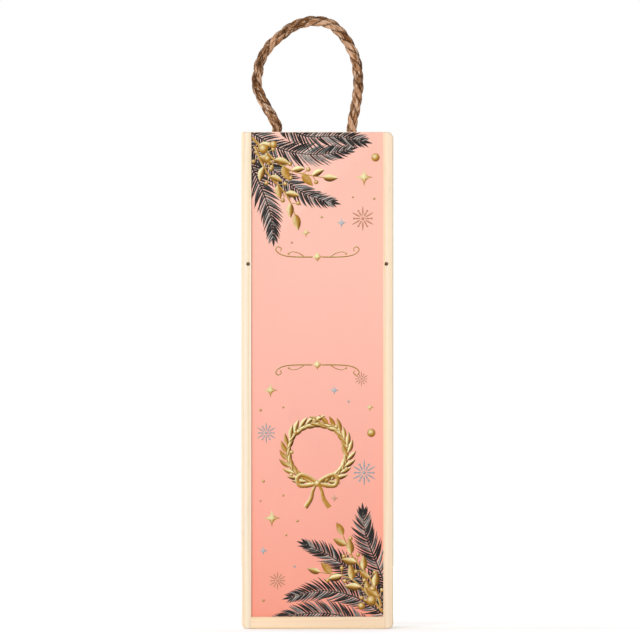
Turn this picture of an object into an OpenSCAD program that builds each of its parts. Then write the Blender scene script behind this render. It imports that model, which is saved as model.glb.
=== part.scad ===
// Wooden wine box for one bottle: two moulded side boards, a bottom, a top and a back,
// a lid that slides up and out of its grooves, a rest for the bottle's neck, and a rope
// handle knotted under the top board.
// The origin is the centre of the bottom face. +Z is up and the lid faces -Y.

/* [Case] */
// Outer width, over both side boards
box_w = 107; // [98:1:140]
// Outer depth, from the front of the rails to the back panel
box_d = 100; // [94:1:140]
// Outer height
box_h = 350; // [330:1:420]
// Thickness of the two side boards
side_t = 7; // [6:0.5:12]
// Thickness of the bottom board
bottom_t = 8.6; // [7:0.2:14]
// Thickness of the top board
top_t = 9; // [7:0.5:14]
// Thickness of the back panel
back_t = 5; // [3:0.5:8]
// Width of the rebate in each side board that takes the back panel's edge
rebate_w = 3.5; // [2:0.5:4.5]
// Radius of the sanded corners, seen from the front
corner_r = 4.4; // [0.5:0.1:4.5]
// Radius of the top left corner, which is sanded less
corner_r_top_left = 1; // [0.5:0.1:4.5]

/* [Lid] */
// Thickness of the lid
lid_t = 4; // [3:0.5:6]
// Thickness of the wood in front of the lid's grooves
lip_t = 3; // [2:0.5:5]
// Depth of the grooves in the side boards
groove_depth = 3; // [2:0.5:4]
// Depth of the groove in the bottom board
foot_groove_depth = 3; // [2:0.5:4.5]
// Play between the lid's edge and the floor of a side groove
lid_side_play = 0.3; // [0.2:0.1:1]
// Play in front of the lid and behind it
lid_face_play = 0.25; // [0.2:0.05:0.6]

/* [Lid pin holes] */
// Diameter of the hole for a pin that locks the lid
pin_hole_d = 2.6; // [2:0.1:2.8]
// Depth of the hole from the front of the rail
pin_hole_depth = 12; // [9:0.5:16]
// Distance of the hole from the rail's inner edge
pin_hole_inset = 2.2; // [1.8:0.1:2.4]
// Distance of the hole below the top of the box
pin_hole_drop = 93; // [40:1:200]

/* [Neck rest] */
// Thickness of the board that holds the bottle's neck
neck_rest_t = 9; // [6:0.5:14]
// Height of its underside above the bottom of the box
neck_rest_z = 248; // [200:1:265]
// Width of its slot
neck_slot_w = 34; // [30:1:38]
// Gap between its front edge and the lid
neck_rest_gap = 1; // [0.5:0.25:3]

/* [Rope handle] */
// Diameter of the rope
rope_d = 7; // [5:0.5:8]
// Play all round the rope in its holes
rope_play = 0.5; // [0.4:0.1:1.2]
// Depth of the countersink at both ends of a rope hole
rope_hole_chamfer = 1; // [0.5:0.25:2]
// Gap that the rope keeps from the wood where it bends or lies against it
rope_gap = 0.3; // [0.2:0.1:0.6]
// Diameter of the knots under the top board
knot_d = 20; // [16:1:24]
// Height of the knots
knot_h = 15; // [10:1:16]
// Length of the loose end under each knot
rope_end_l = 15; // [8:1:24]

/* [Brads] */
// Diameter of a brad's shank
brad_d = 1.6; // [1.2:0.1:1.8]
// Length of the brads that join the boards
brad_l = 25; // [16:1:28]
// Length of the brads that hold the back panel
back_brad_l = 18; // [12:1:25]
// Diameter of a brad's head
brad_head_d = 2.8; // [2.2:0.1:3.2]
// Thickness of a brad's head
brad_head_t = 0.8; // [0.5:0.1:1.2]
// Gap between a brad and its hole
brad_gap = 0.05; // [0.02:0.01:0.1]
// Distance of the first brads from the end of the joint that they hold
brad_inset = 13; // [8:1:20]
// Distance of the brads from the middle of the top and bottom boards, towards the inside
brad_shift = 0.7; // [0:0.1:1]
// Number of brads in each end of the bottom board
bottom_brads_per_end = 3; // [2:1:5]
// Number of brads in each end of the top board, even, so that none meets a rope hole
top_brads_per_end = 2; // [2:2:4]
// Number of brads in each end of the neck rest
neck_brads_per_end = 2; // [2:1:3]
// Number of brads across the back panel, at its top and at its bottom
back_brads_across = 3; // [2:1:5]
// Number of brads along each side of the back panel
back_brads_along = 4; // [2:1:8]

/* [Hidden] */

$fn = 48;
overcut = 1;      // how far a cutting solid runs past the face that it cuts
LEFT = -1;
RIGHT = 1;

pine = [0.98, 0.91, 0.80];
pine_end = [0.96, 0.86, 0.72];
plywood = [0.93, 0.83, 0.68];
lid_ground = [0.99, 0.74, 0.68];
jute = [0.63, 0.48, 0.36];
steel = [0.62, 0.62, 0.63];

// Inside of the case
inner_w = box_w - 2 * side_t;
front_y = -box_d / 2;
back_y = box_d / 2;
inner_back_y = back_y - back_t;
top_under_z = box_h - top_t;

// Grooves and lid
groove_w = lid_t + 2 * lid_face_play;
groove_front_y = front_y + lip_t;
groove_back_y = groove_front_y + groove_w;
lid_w = inner_w + 2 * (groove_depth - lid_side_play);
lid_front_y = groove_front_y + lid_face_play;
lid_bottom_z = bottom_t - foot_groove_depth;
pin_x = inner_w / 2 + pin_hole_inset;
pin_z = box_h - pin_hole_drop;

// Neck rest, with its slot on the bottle's axis
neck_front_y = lid_front_y + lid_t + neck_rest_gap;
bottle_y = (groove_back_y + inner_back_y) / 2;

// Rope: x and height above the fold line, from the left hole over the loop to the right hole
rope_route = [
    [-28.5, 0], [-30.5, 5], [-34, 11], [-38, 18], [-41.5, 25], [-43, 32], [-42, 38],
    [-41, 44.5], [-38.5, 50.5], [-34.5, 56.5], [-29, 62], [-22.5, 67.5], [-15.5, 72],
    [-7.5, 74.5], [0.5, 75], [8, 73.5], [14, 69.5], [19.5, 63], [24, 55.5], [27, 48],
    [28.5, 40], [29, 32], [28.5, 24.5], [27.5, 17], [26, 10], [25, 4.5], [24.5, 0]];
rope_sides = 10;
rope_cap_rings = 3;
rope_y = bottle_y;
rope_fold_z = box_h + rope_d / 2 + rope_gap;
rope_left_x = rope_route[0][0];
rope_last = len(rope_route) - 1;
rope_right_x = rope_route[rope_last][0];
rope_hole_d = rope_d + 2 * rope_play;
knot_top_z = top_under_z - rope_gap;

// Brads
bottom_brad_z = bottom_t / 2 + brad_shift;
top_brad_z = box_h - top_t / 2 - brad_shift;
neck_brad_z = neck_rest_z + neck_rest_t / 2;
back_brad_x = (inner_w + rebate_w) / 2;
side_brad_first_y = groove_back_y + brad_inset;
side_brad_last_y = back_y - back_brad_l - 1.5 * brad_d; // clear of the back panel's brads
bottom_brad_ys = spread(side_brad_first_y, side_brad_last_y, bottom_brads_per_end);
top_brad_ys = spread(side_brad_first_y, side_brad_last_y, top_brads_per_end);
neck_brad_ys = spread(side_brad_first_y, side_brad_last_y, neck_brads_per_end);
back_brad_end_x = inner_w / 2 - brad_inset;
back_brad_xs = spread(-back_brad_end_x, back_brad_end_x, back_brads_across);
back_brad_zs = spread(bottom_t + brad_inset, top_under_z - brad_inset, back_brads_along);

// count places, evenly from first to last
function spread(first, last, count) =
    [for (i = [0 : count - 1]) first + i * (last - first) / (count - 1)];

// Unit direction of the route at point i, straight up or down at its ends
function along(i) =
    i == 0 ? [0, 1]
    : i == rope_last ? [0, -1]
    : (rope_route[i + 1] - rope_route[i - 1]) / norm(rope_route[i + 1] - rope_route[i - 1]);

// Rings of the rope's tube: [centre, direction, radius], with a round cap at each end.
// A cap's ring lies at an angle from the ball's middle, below 0 before it and above 0 past it.
function cap_ring(i, angle) =
    [rope_route[i] + along(i) * rope_d / 2 * sin(angle), along(i), rope_d / 2 * cos(angle)];
cap_step = 75 / rope_cap_rings;
rope_rings = concat(
    [for (k = [rope_cap_rings : -1 : 1]) cap_ring(0, -cap_step * k)],
    [for (i = [0 : rope_last]) [rope_route[i], along(i), rope_d / 2]],
    [for (k = [1 : rope_cap_rings]) cap_ring(rope_last, cap_step * k)]);
function ring_point(ring, angle) =
    [ring[0][0] - ring[1][1] * ring[2] * cos(angle),
     ring[2] * sin(angle),
     ring[0][1] + ring[1][0] * ring[2] * cos(angle)];

// What is left outside a quarter round of radius r, to be cut from a corner at the origin
module corner_waste(r) {
    difference() {
        square(r + overcut);
        circle(r);
    }
}

// A side board seen from the front, from its inner face at x = 0 outwards
module side_outline(top_r) {
    difference() {
        square([side_t, box_h]);
        translate([side_t - top_r, box_h - top_r]) corner_waste(top_r);
        translate([side_t - corner_r, corner_r]) mirror([0, 1]) corner_waste(corner_r);
    }
}

// One brad along +X, its head's face at the origin and its shank towards -X
module brad(length, gap = 0) {
    rotate([0, -90, 0]) {
        cylinder(d = brad_d + 2 * gap, h = length + gap);
        translate([0, 0, gap > 0 ? -overcut : 0])
            cylinder(d = brad_head_d + 2 * gap,
                     h = brad_head_t + gap + (gap > 0 ? overcut : 0));
    }
}

// Brads through both side boards at height z and at each of ys
module side_brads(z, ys, gap = 0) {
    for (y = ys) {
        translate([box_w / 2, y, z]) brad(brad_l, gap);
        translate([-box_w / 2, y, z]) mirror([1, 0, 0]) brad(brad_l, gap);
    }
}

// Brads through the back panel: across its top and bottom, and up both of its sides
module panel_brads(gap = 0) {
    for (z = [bottom_brad_z, top_brad_z], x = back_brad_xs)
        translate([x, back_y, z]) rotate([0, 0, 90]) brad(back_brad_l, gap);
    for (side = [LEFT, RIGHT], z = back_brad_zs)
        translate([side * back_brad_x, back_y, z]) rotate([0, 0, 90]) brad(back_brad_l, gap);
}

// Hole for the pin that locks the lid, from the front of one rail
module pin_hole(side) {
    translate([side * pin_x, front_y - overcut, pin_z])
        rotate([-90, 0, 0])
            cylinder(d = pin_hole_d, h = pin_hole_depth + overcut);
}

// The right side board, with its lid groove and its rebate for the back panel
module side_board(top_r) {
    difference() {
        translate([inner_w / 2, back_y, 0])
            rotate([90, 0, 0])
                linear_extrude(box_d) side_outline(top_r);
        translate([inner_w / 2 - overcut, groove_front_y, -overcut])
            cube([groove_depth + overcut, groove_w, box_h + 2 * overcut]);
        translate([inner_w / 2 - overcut, inner_back_y, -overcut])
            cube([rebate_w + overcut, back_t + overcut, box_h + 2 * overcut]);
        pin_hole(RIGHT);
        side_brads(bottom_brad_z, bottom_brad_ys, brad_gap);
        side_brads(top_brad_z, top_brad_ys, brad_gap);
        side_brads(neck_brad_z, neck_brad_ys, brad_gap);
        panel_brads(brad_gap);
    }
}

module left_side() {
    color(pine) mirror([1, 0, 0]) side_board(corner_r_top_left);
}

module right_side() {
    color(pine) side_board(corner_r);
}

module bottom_board() {
    color(pine_end) difference() {
        translate([-inner_w / 2, front_y, 0])
            cube([inner_w, inner_back_y - front_y, bottom_t]);
        translate([-inner_w / 2 - overcut, groove_front_y, lid_bottom_z])
            cube([inner_w + 2 * overcut, groove_w, foot_groove_depth + overcut]);
        side_brads(bottom_brad_z, bottom_brad_ys, brad_gap);
        panel_brads(brad_gap);
    }
}

// A rope hole through the top board, countersunk at both ends
module rope_hole(x) {
    translate([x, rope_y, top_under_z]) {
        translate([0, 0, -overcut]) cylinder(d = rope_hole_d, h = top_t + 2 * overcut);
        cylinder(d1 = rope_hole_d + 2 * rope_hole_chamfer, d2 = rope_hole_d,
                 h = rope_hole_chamfer);
        translate([0, 0, top_t - rope_hole_chamfer])
            cylinder(d1 = rope_hole_d, d2 = rope_hole_d + 2 * rope_hole_chamfer,
                     h = rope_hole_chamfer);
    }
}

module top_board() {
    color(pine_end) difference() {
        translate([-inner_w / 2, groove_back_y, top_under_z])
            cube([inner_w, inner_back_y - groove_back_y, top_t]);
        rope_hole(rope_left_x);
        rope_hole(rope_right_x);
        side_brads(top_brad_z, top_brad_ys, brad_gap);
        panel_brads(brad_gap);
    }
}

module back_panel() {
    color(plywood) difference() {
        translate([-inner_w / 2 - rebate_w, inner_back_y, 0])
            cube([inner_w + 2 * rebate_w, back_t, box_h]);
        panel_brads(brad_gap);
    }
}

module neck_rest() {
    color(pine) difference() {
        translate([-inner_w / 2, neck_front_y, neck_rest_z])
            cube([inner_w, inner_back_y - neck_front_y, neck_rest_t]);
        translate([0, bottle_y, neck_rest_z - overcut]) {
            cylinder(d = neck_slot_w, h = neck_rest_t + 2 * overcut);
            translate([-neck_slot_w / 2, neck_front_y - bottle_y - overcut, 0])
                cube([neck_slot_w, bottle_y - neck_front_y + overcut,
                      neck_rest_t + 2 * overcut]);
        }
        side_brads(neck_brad_z, neck_brad_ys, brad_gap);
    }
}

module lid() {
    color(lid_ground) difference() {
        translate([-lid_w / 2, lid_front_y, lid_bottom_z])
            cube([lid_w, lid_t, box_h - lid_bottom_z]);
        pin_hole(LEFT);
        pin_hole(RIGHT);
    }
}

// The free loop of the rope, from the fold line up
module rope_loop() {
    rings = len(rope_rings);
    color(jute) translate([0, rope_y, rope_fold_z])
        polyhedron(
            points = [for (ring = rope_rings, k = [0 : rope_sides - 1])
                ring_point(ring, 360 * k / rope_sides)],
            faces = concat(
                [[for (k = [0 : rope_sides - 1]) k]],
                [for (i = [0 : rings - 2], k = [0 : rope_sides - 1])
                    [i * rope_sides + k,
                     (i + 1) * rope_sides + k,
                     (i + 1) * rope_sides + (k + 1) % rope_sides,
                     i * rope_sides + (k + 1) % rope_sides]],
                [[for (k = [rope_sides - 1 : -1 : 0]) (rings - 1) * rope_sides + k]]));
}

// The rope in its hole, the knot under the top board and the loose end under the knot
module rope_tail(x) {
    color(jute) translate([x, rope_y, knot_top_z - knot_h])
        rotate_extrude() {
            translate([0, -rope_end_l])
                square([rope_d / 2, rope_end_l + knot_h + rope_gap + top_t]);
            square([(knot_d - knot_h) / 2, knot_h]);
            intersection() {
                translate([(knot_d - knot_h) / 2, knot_h / 2]) circle(knot_h / 2);
                square([knot_d, knot_h]);
            }
        }
}

module rope_tail_left() {
    rope_tail(rope_left_x);
}

module rope_tail_right() {
    rope_tail(rope_right_x);
}

module bottom_brads() {
    color(steel) side_brads(bottom_brad_z, bottom_brad_ys);
}

module top_brads() {
    color(steel) side_brads(top_brad_z, top_brad_ys);
}

module neck_rest_brads() {
    color(steel) side_brads(neck_brad_z, neck_brad_ys);
}

module back_brads() {
    color(steel) panel_brads();
}

left_side();
right_side();
bottom_board();
top_board();
back_panel();
neck_rest();
lid();
rope_loop();
rope_tail_left();
rope_tail_right();
bottom_brads();
top_brads();
neck_rest_brads();
back_brads();
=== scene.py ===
"""Dressed model of a wooden wine box: pine case, printed sliding lid, jute rope handle.

Every length is in metres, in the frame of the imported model: +Z up, the lid faces -Y.
"""

from __future__ import annotations

import logging
import math
import random
from dataclasses import dataclass, field
from enum import Enum
from typing import Callable, Iterable, Sequence, Union

import bmesh
import bpy
from bmesh.types import BMesh, BMFace, BMVert
from bpy.types import Material, Node, NodeSocket, NodeTree, Object
from mathutils import Euler, Matrix, Vector, noise

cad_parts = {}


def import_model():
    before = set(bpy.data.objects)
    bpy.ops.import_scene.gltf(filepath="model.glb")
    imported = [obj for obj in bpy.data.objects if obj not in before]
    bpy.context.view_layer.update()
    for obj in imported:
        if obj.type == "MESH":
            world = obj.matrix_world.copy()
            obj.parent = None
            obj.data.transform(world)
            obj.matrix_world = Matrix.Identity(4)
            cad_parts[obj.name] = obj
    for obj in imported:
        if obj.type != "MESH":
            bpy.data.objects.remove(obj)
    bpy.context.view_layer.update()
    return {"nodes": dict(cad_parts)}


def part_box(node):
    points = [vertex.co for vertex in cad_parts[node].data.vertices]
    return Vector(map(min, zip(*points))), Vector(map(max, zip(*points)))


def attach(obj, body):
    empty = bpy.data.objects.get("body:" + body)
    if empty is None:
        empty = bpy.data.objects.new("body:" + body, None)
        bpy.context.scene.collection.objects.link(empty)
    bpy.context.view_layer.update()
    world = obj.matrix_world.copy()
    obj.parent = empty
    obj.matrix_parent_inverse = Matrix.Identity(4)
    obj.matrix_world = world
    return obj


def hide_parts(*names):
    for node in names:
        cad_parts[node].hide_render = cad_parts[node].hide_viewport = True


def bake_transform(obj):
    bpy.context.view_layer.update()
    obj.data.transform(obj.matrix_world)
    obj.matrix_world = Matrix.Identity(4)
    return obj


LOG = logging.getLogger("wine_box")
MM = 0.001
# Two places nearer than this count as one.
NEAR = 1e-6
# Vertices nearer than this are merged.
WELD = 0.001 * MM
# How far a cutter reaches past the wood.
OVERCUT = 1.0 * MM
UP = Vector((0.0, 0.0, 1.0))
WHITE = (1.0, 1.0, 1.0, 1.0)

Colour = tuple[float, float, float, float]
Value = Union[float, Colour, tuple, NodeSocket]
EdgeTest = Callable[[Vector, Vector], bool]
Profile = Sequence[tuple[float, float]]


class Side(Enum):
    """The two sides of the box, as the sign of X."""

    LEFT = -1
    RIGHT = 1


class Along(Enum):
    """The row axis that a board's grain runs along."""

    X = "X"
    Z = "Z"


class Ink(Enum):
    """The printing inks of the lid's ornament, each with its dark, middle and light tone."""

    GREY = ("#080706", "#33302D", "#D2CBC4")
    GOLD = ("#472904", "#BA852C", "#FFF6C0")
    SILVER = ("#6F7478", "#9A9EA1", "#C9CCCE")
    COPPER = ("#8F5F45", "#BD8566", "#E3B79C")


def linear(code: str) -> Colour:
    """Convert a colour code to a linear colour.

    Args:
        code: The colour as "#RRGGBB" in sRGB.

    Returns:
        Red, green, blue and alpha for a shader.
    """
    parts = [int(code[i : i + 2], 16) / 255 for i in (1, 3, 5)]
    red, green, blue = (
        part / 12.92 if part <= 0.04045 else ((part + 0.055) / 1.055) ** 2.4 for part in parts
    )
    return (red, green, blue, 1.0)


# ---------------------------------------------------------------- shader building


@dataclass
class Graph:
    """Short calls that place and link the nodes of one shader tree."""

    tree: NodeTree

    def add(self, kind: str, sockets: dict | None = None, **settings: object) -> Node:
        """Place a node.

        Args:
            kind: The node's type, without its ShaderNode prefix.
            sockets: Values or outputs for its inputs, by name or number.
            settings: Properties of the node.

        Returns:
            The new node.
        """
        node = self.tree.nodes.new("ShaderNode" + kind)
        for name, setting in settings.items():
            setattr(node, name, setting)
        for name, value in (sockets or {}).items():
            self.feed(node.inputs[name], value)
        return node

    def feed(self, socket: NodeSocket, value: Value) -> None:
        """Set an input to a value, or link it to an output.

        Args:
            socket: The input.
            value: The value or the output.
        """
        if isinstance(value, NodeSocket):
            self.tree.links.new(value, socket)
        else:
            socket.default_value = value

    def calc(self, operation: str, *terms: Value, clamp: bool = False) -> NodeSocket:
        """Work out one value from up to three others with a Math node."""
        sockets = dict(enumerate(terms))
        return self.add("Math", sockets, operation=operation, use_clamp=clamp).outputs[0]

    def vector(self, operation: str, *terms: Value) -> NodeSocket:
        """Work out one vector from others with a Vector Math node."""
        return self.add("VectorMath", dict(enumerate(terms)), operation=operation).outputs[0]

    def noise(self, place: Value, scale: float, detail: float = 2.0) -> NodeSocket:
        """Make smooth noise from 0 to 1 at a place."""
        sockets = {"Vector": place, "Scale": scale, "Detail": detail, "Roughness": 0.55}
        return self.add("TexNoise", sockets).outputs["Fac"]

    def spread(
        self, value: Value, low: float, high: float, out_low: float = 0.0, out_high: float = 1.0
    ) -> NodeSocket:
        """Map a value's low to high onto out_low to out_high, clamped and smoothed."""
        sockets = {0: value, 1: low, 2: high, 3: out_low, 4: out_high}
        return self.add("MapRange", sockets, interpolation_type="SMOOTHSTEP").outputs[0]

    def mix(self, share: Value, first: Value, second: Value, blend: str = "MIX") -> NodeSocket:
        """Mix two colours by a share, which is 0 for the first alone."""
        sockets = {0: share, 6: first, 7: second}
        return self.add("Mix", sockets, data_type="RGBA", blend_type=blend).outputs[2]

    def ramp(self, value: Value, stops: Sequence[tuple[float, str]]) -> NodeSocket:
        """Colour a value.

        Args:
            value: The value, from 0 to 1.
            stops: Position and colour code of each stop.

        Returns:
            The colour.
        """
        node = self.add("ValToRGB", {0: value})
        elements = node.color_ramp.elements
        while len(elements) < len(stops):
            elements.new(0.5)
        for element, (position, code) in zip(elements, stops):
            element.position = position
            element.color = linear(code)
        return node.outputs[0]

    def group(self, tree: NodeTree, sockets: dict) -> Node:
        """Place a node group.

        Args:
            tree: The group.
            sockets: Values or outputs for its inputs, by name.

        Returns:
            The group's node.
        """
        node = self.tree.nodes.new("ShaderNodeGroup")
        node.node_tree = tree
        for name, value in sockets.items():
            self.feed(node.inputs[name], value)
        return node


def new_group(name: str, inputs: dict[str, str], outputs: dict[str, str]) -> tuple[Graph, Node, Node]:
    """Start a shader node group.

    Args:
        name: The group's name.
        inputs: Socket names and their kinds: Float, Color or Vector.
        outputs: The same for the outputs.

    Returns:
        The group's graph, its input node and its output node.
    """
    tree = bpy.data.node_groups.new(name, "ShaderNodeTree")
    for direction, sockets in (("INPUT", inputs), ("OUTPUT", outputs)):
        for socket, kind in sockets.items():
            tree.interface.new_socket(name=socket, in_out=direction, socket_type="NodeSocket" + kind)
    graph = Graph(tree)
    return graph, tree.nodes.new("NodeGroupInput"), tree.nodes.new("NodeGroupOutput")


def new_material(name: str) -> tuple[Material, Graph]:
    """Start a material whose tree is empty.

    Args:
        name: The material's name.

    Returns:
        The material and its graph.
    """
    material = bpy.data.materials.new(name)
    material.use_nodes = True
    material.node_tree.nodes.clear()
    return material, Graph(material.node_tree)


def finish_surface(graph: Graph, surface: dict, height: Value | None = None, depth: float = 0.0) -> None:
    """Give a material its Principled BSDF, with a bump if it has one.

    Args:
        graph: The material's graph.
        surface: Inputs of the Principled BSDF.
        height: Height of the relief, from 0 to 1.
        depth: How deep that relief is.
    """
    sockets = dict(surface)
    if height is not None:
        bump = graph.add("Bump", {"Height": height, "Distance": depth, "Strength": 1.0})
        sockets["Normal"] = bump.outputs[0]
    shader = graph.add("BsdfPrincipled", sockets)
    output = graph.add("OutputMaterial")
    graph.tree.links.new(shader.outputs[0], output.inputs[0])


# ---------------------------------------------------------------- finishes


@dataclass(frozen=True)
class PineGrain:
    """Shader group of planed pine: growth rings round a pith, a knot, fibres and resin flecks."""

    wobble: float = 2.4 * MM
    wobble_size: Vector = field(default_factory=lambda: Vector((13.0, 13.0, 3.6)))
    fibre_size: Vector = field(default_factory=lambda: Vector((2400.0, 2400.0, 36.0)))
    band_size: Vector = field(default_factory=lambda: Vector((420.0, 420.0, 5.0)))
    fleck_size: Vector = field(default_factory=lambda: Vector((900.0, 900.0, 90.0)))
    patch_scale: float = 22.0
    ring_drift: float = 1.3
    knot_flow: Vector = field(default_factory=lambda: Vector((1.0, 1.0, 0.7)))
    knot_rough_scale: float = 160.0
    knot_roughness: float = 0.5
    knot_push: float = 2.2
    knot_fade: float = 0.22
    knot_years: float = 5.0
    knot_wood: str = "#C08A58"
    knot_rings: str = "#99663A"
    knot_rim: str = "#7E4F2B"

    def knot_share(self, graph: Graph, given: Node) -> NodeSocket:
        """Measure the distance from the branch that left the knot.

        Args:
            graph: The group's graph.
            given: The group's inputs.

        Returns:
            The distance, which is 1 at the knot's rim.
        """
        place, knot = given.outputs["Vector"], given.outputs["Knot"]
        outward = graph.vector("NORMALIZE", graph.vector("MULTIPLY", knot, (1.0, 1.0, 0.0)))
        away = graph.vector("MULTIPLY", graph.vector("SUBTRACT", place, knot), self.knot_flow)
        across = graph.vector("CROSS_PRODUCT", outward, away)
        distance = graph.add("VectorMath", {0: across}, operation="LENGTH").outputs["Value"]
        share = graph.calc("DIVIDE", distance, given.outputs["Knot radius"])
        uneven = graph.calc("SUBTRACT", graph.noise(place, self.knot_rough_scale), 0.5)
        return graph.calc("MULTIPLY_ADD", uneven, self.knot_roughness, share)

    def late_wood(self, graph: Graph, given: Node, knot: Value) -> NodeSocket:
        """Draw the dark late wood: rings that darken outwards, stop sharply and flow round the knot.

        Args:
            graph: The group's graph.
            given: The group's inputs.
            knot: Distance from the knot, 1 at its rim.

        Returns:
            The late wood's strength.
        """
        place = given.outputs["Vector"]
        drift = graph.noise(graph.vector("MULTIPLY", place, self.wobble_size), 1.0, 3.0)
        drift = graph.calc("MULTIPLY", graph.calc("SUBTRACT", drift, 0.5), 2 * self.wobble)
        axes = graph.add("SeparateXYZ", {0: place})
        flat = graph.add("CombineXYZ", {0: axes.outputs[0], 1: axes.outputs[1]})
        radius = graph.add("VectorMath", {0: flat.outputs[0]}, operation="LENGTH").outputs["Value"]
        swell = graph.calc("MULTIPLY", graph.calc("MULTIPLY", knot, knot), -self.knot_fade)
        swell = graph.calc("MULTIPLY", graph.calc("EXPONENT", swell), given.outputs["Knot radius"])
        swell = graph.calc("MULTIPLY", swell, self.knot_push)
        radius = graph.calc("ADD", graph.calc("ADD", radius, drift), swell)
        rings = graph.calc("DIVIDE", radius, given.outputs["Ring spacing"])
        uneven = graph.noise(graph.add("CombineXYZ", {0: rings}).outputs[0], 0.7, 1.0)
        rings = graph.calc("MULTIPLY_ADD", uneven, self.ring_drift, rings)
        phase = graph.calc("FRACT", rings)
        rise = graph.spread(phase, 0.3, 0.9)
        fall = graph.spread(phase, 0.93, 1.0, 1.0, 0.0)
        year = graph.add("CombineXYZ", {0: graph.calc("FLOOR", rings), 1: 3.7}).outputs[0]
        year = graph.spread(graph.noise(year, 0.83, 0.0), 0.3, 0.7, 0.35, 1.0)
        late = graph.calc("MULTIPLY", graph.calc("MULTIPLY", rise, fall), year)
        return graph.calc("MULTIPLY", late, given.outputs["Late share"])

    def knot_colour(self, graph: Graph, colour: Value, knot: Value) -> NodeSocket:
        """Lay the knot over the board's colour: its own rings, a dark rim and a warm halo.

        Args:
            graph: The group's graph.
            colour: The board's colour.
            knot: Distance from the knot, 1 at its rim.

        Returns:
            The board's colour with its knot.
        """
        halo = graph.calc("MULTIPLY", graph.spread(knot, 1.0, 2.1, 1.0, 0.0), 0.28)
        colour = graph.mix(halo, colour, linear(self.knot_wood))
        rings = graph.calc("FRACT", graph.calc("MULTIPLY", knot, self.knot_years))
        inside = graph.mix(graph.spread(rings, 0.3, 1.0), linear(self.knot_wood), linear(self.knot_rings))
        inside = graph.mix(graph.spread(knot, 0.78, 0.96), inside, linear(self.knot_rim))
        return graph.mix(graph.spread(knot, 0.97, 1.08, 1.0, 0.0), colour, inside)

    def build(self) -> NodeTree:
        """Build the group.

        Returns:
            A group that takes a vector with Z along the grain and the pith on its Z axis.
        """
        graph, given, result = new_group(
            "pine_grain",
            {
                "Vector": "Vector",
                "Early wood": "Color",
                "Late wood": "Color",
                "Ring spacing": "Float",
                "Late share": "Float",
                "Fibre": "Float",
                "End grain": "Float",
                "Knot": "Vector",
                "Knot radius": "Float",
            },
            {"Color": "Color", "Roughness": "Float", "Height": "Float"},
        )
        place = given.outputs["Vector"]
        knot = self.knot_share(graph, given)
        late = self.late_wood(graph, given, knot)
        fibre = graph.noise(graph.vector("MULTIPLY", place, self.fibre_size), 1.0, 3.0)
        band = graph.noise(graph.vector("MULTIPLY", place, self.band_size), 1.0, 1.0)
        fleck = graph.noise(graph.vector("MULTIPLY", place, self.fleck_size), 1.0, 0.0)
        fleck = graph.spread(fleck, 0.74, 0.8)
        patch = graph.noise(place, self.patch_scale)
        colour = graph.mix(late, given.outputs["Early wood"], given.outputs["Late wood"])
        hue = graph.ramp(band, [(0.34, "#FFF9F5"), (0.5, "#FFFFFF"), (0.64, "#FEFCF1")])
        colour = graph.mix(1.0, colour, hue, "MULTIPLY")
        streak = graph.calc("MULTIPLY", graph.calc("SUBTRACT", fibre, 0.5), given.outputs["Fibre"])
        patchy = graph.calc("MULTIPLY", graph.calc("SUBTRACT", patch, 0.5), 0.08)
        light = graph.calc("ADD", graph.calc("ADD", 1.0, streak), patchy)
        light = graph.calc("SUBTRACT", light, graph.calc("MULTIPLY", fleck, 0.05))
        light = graph.calc("SUBTRACT", light, graph.calc("MULTIPLY", given.outputs["End grain"], 0.10))
        tint = graph.add("CombineColor", {0: light, 1: light, 2: light}).outputs[0]
        colour = self.knot_colour(graph, colour, knot)
        graph.feed(result.inputs["Color"], graph.mix(1.0, colour, tint, "MULTIPLY"))
        rough = graph.calc("ADD", 0.56, graph.calc("MULTIPLY", fibre, 0.14))
        rough = graph.calc("SUBTRACT", rough, graph.calc("MULTIPLY", late, 0.08))
        graph.feed(result.inputs["Roughness"], rough)
        relief = graph.calc("ADD", graph.calc("MULTIPLY", fibre, 0.6), graph.calc("MULTIPLY", late, 0.4))
        relief = graph.calc("SUBTRACT", relief, graph.calc("MULTIPLY", fleck, 0.3))
        graph.feed(result.inputs["Height"], relief)
        return graph.tree


@dataclass(frozen=True)
class Knot:
    """A knot in a board's face: its middle and its radius. The default lies outside every board."""

    place: tuple[float, float, float] = (1.0, 1.0, 1.0)
    radius: float = 1.0 * MM


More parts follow.
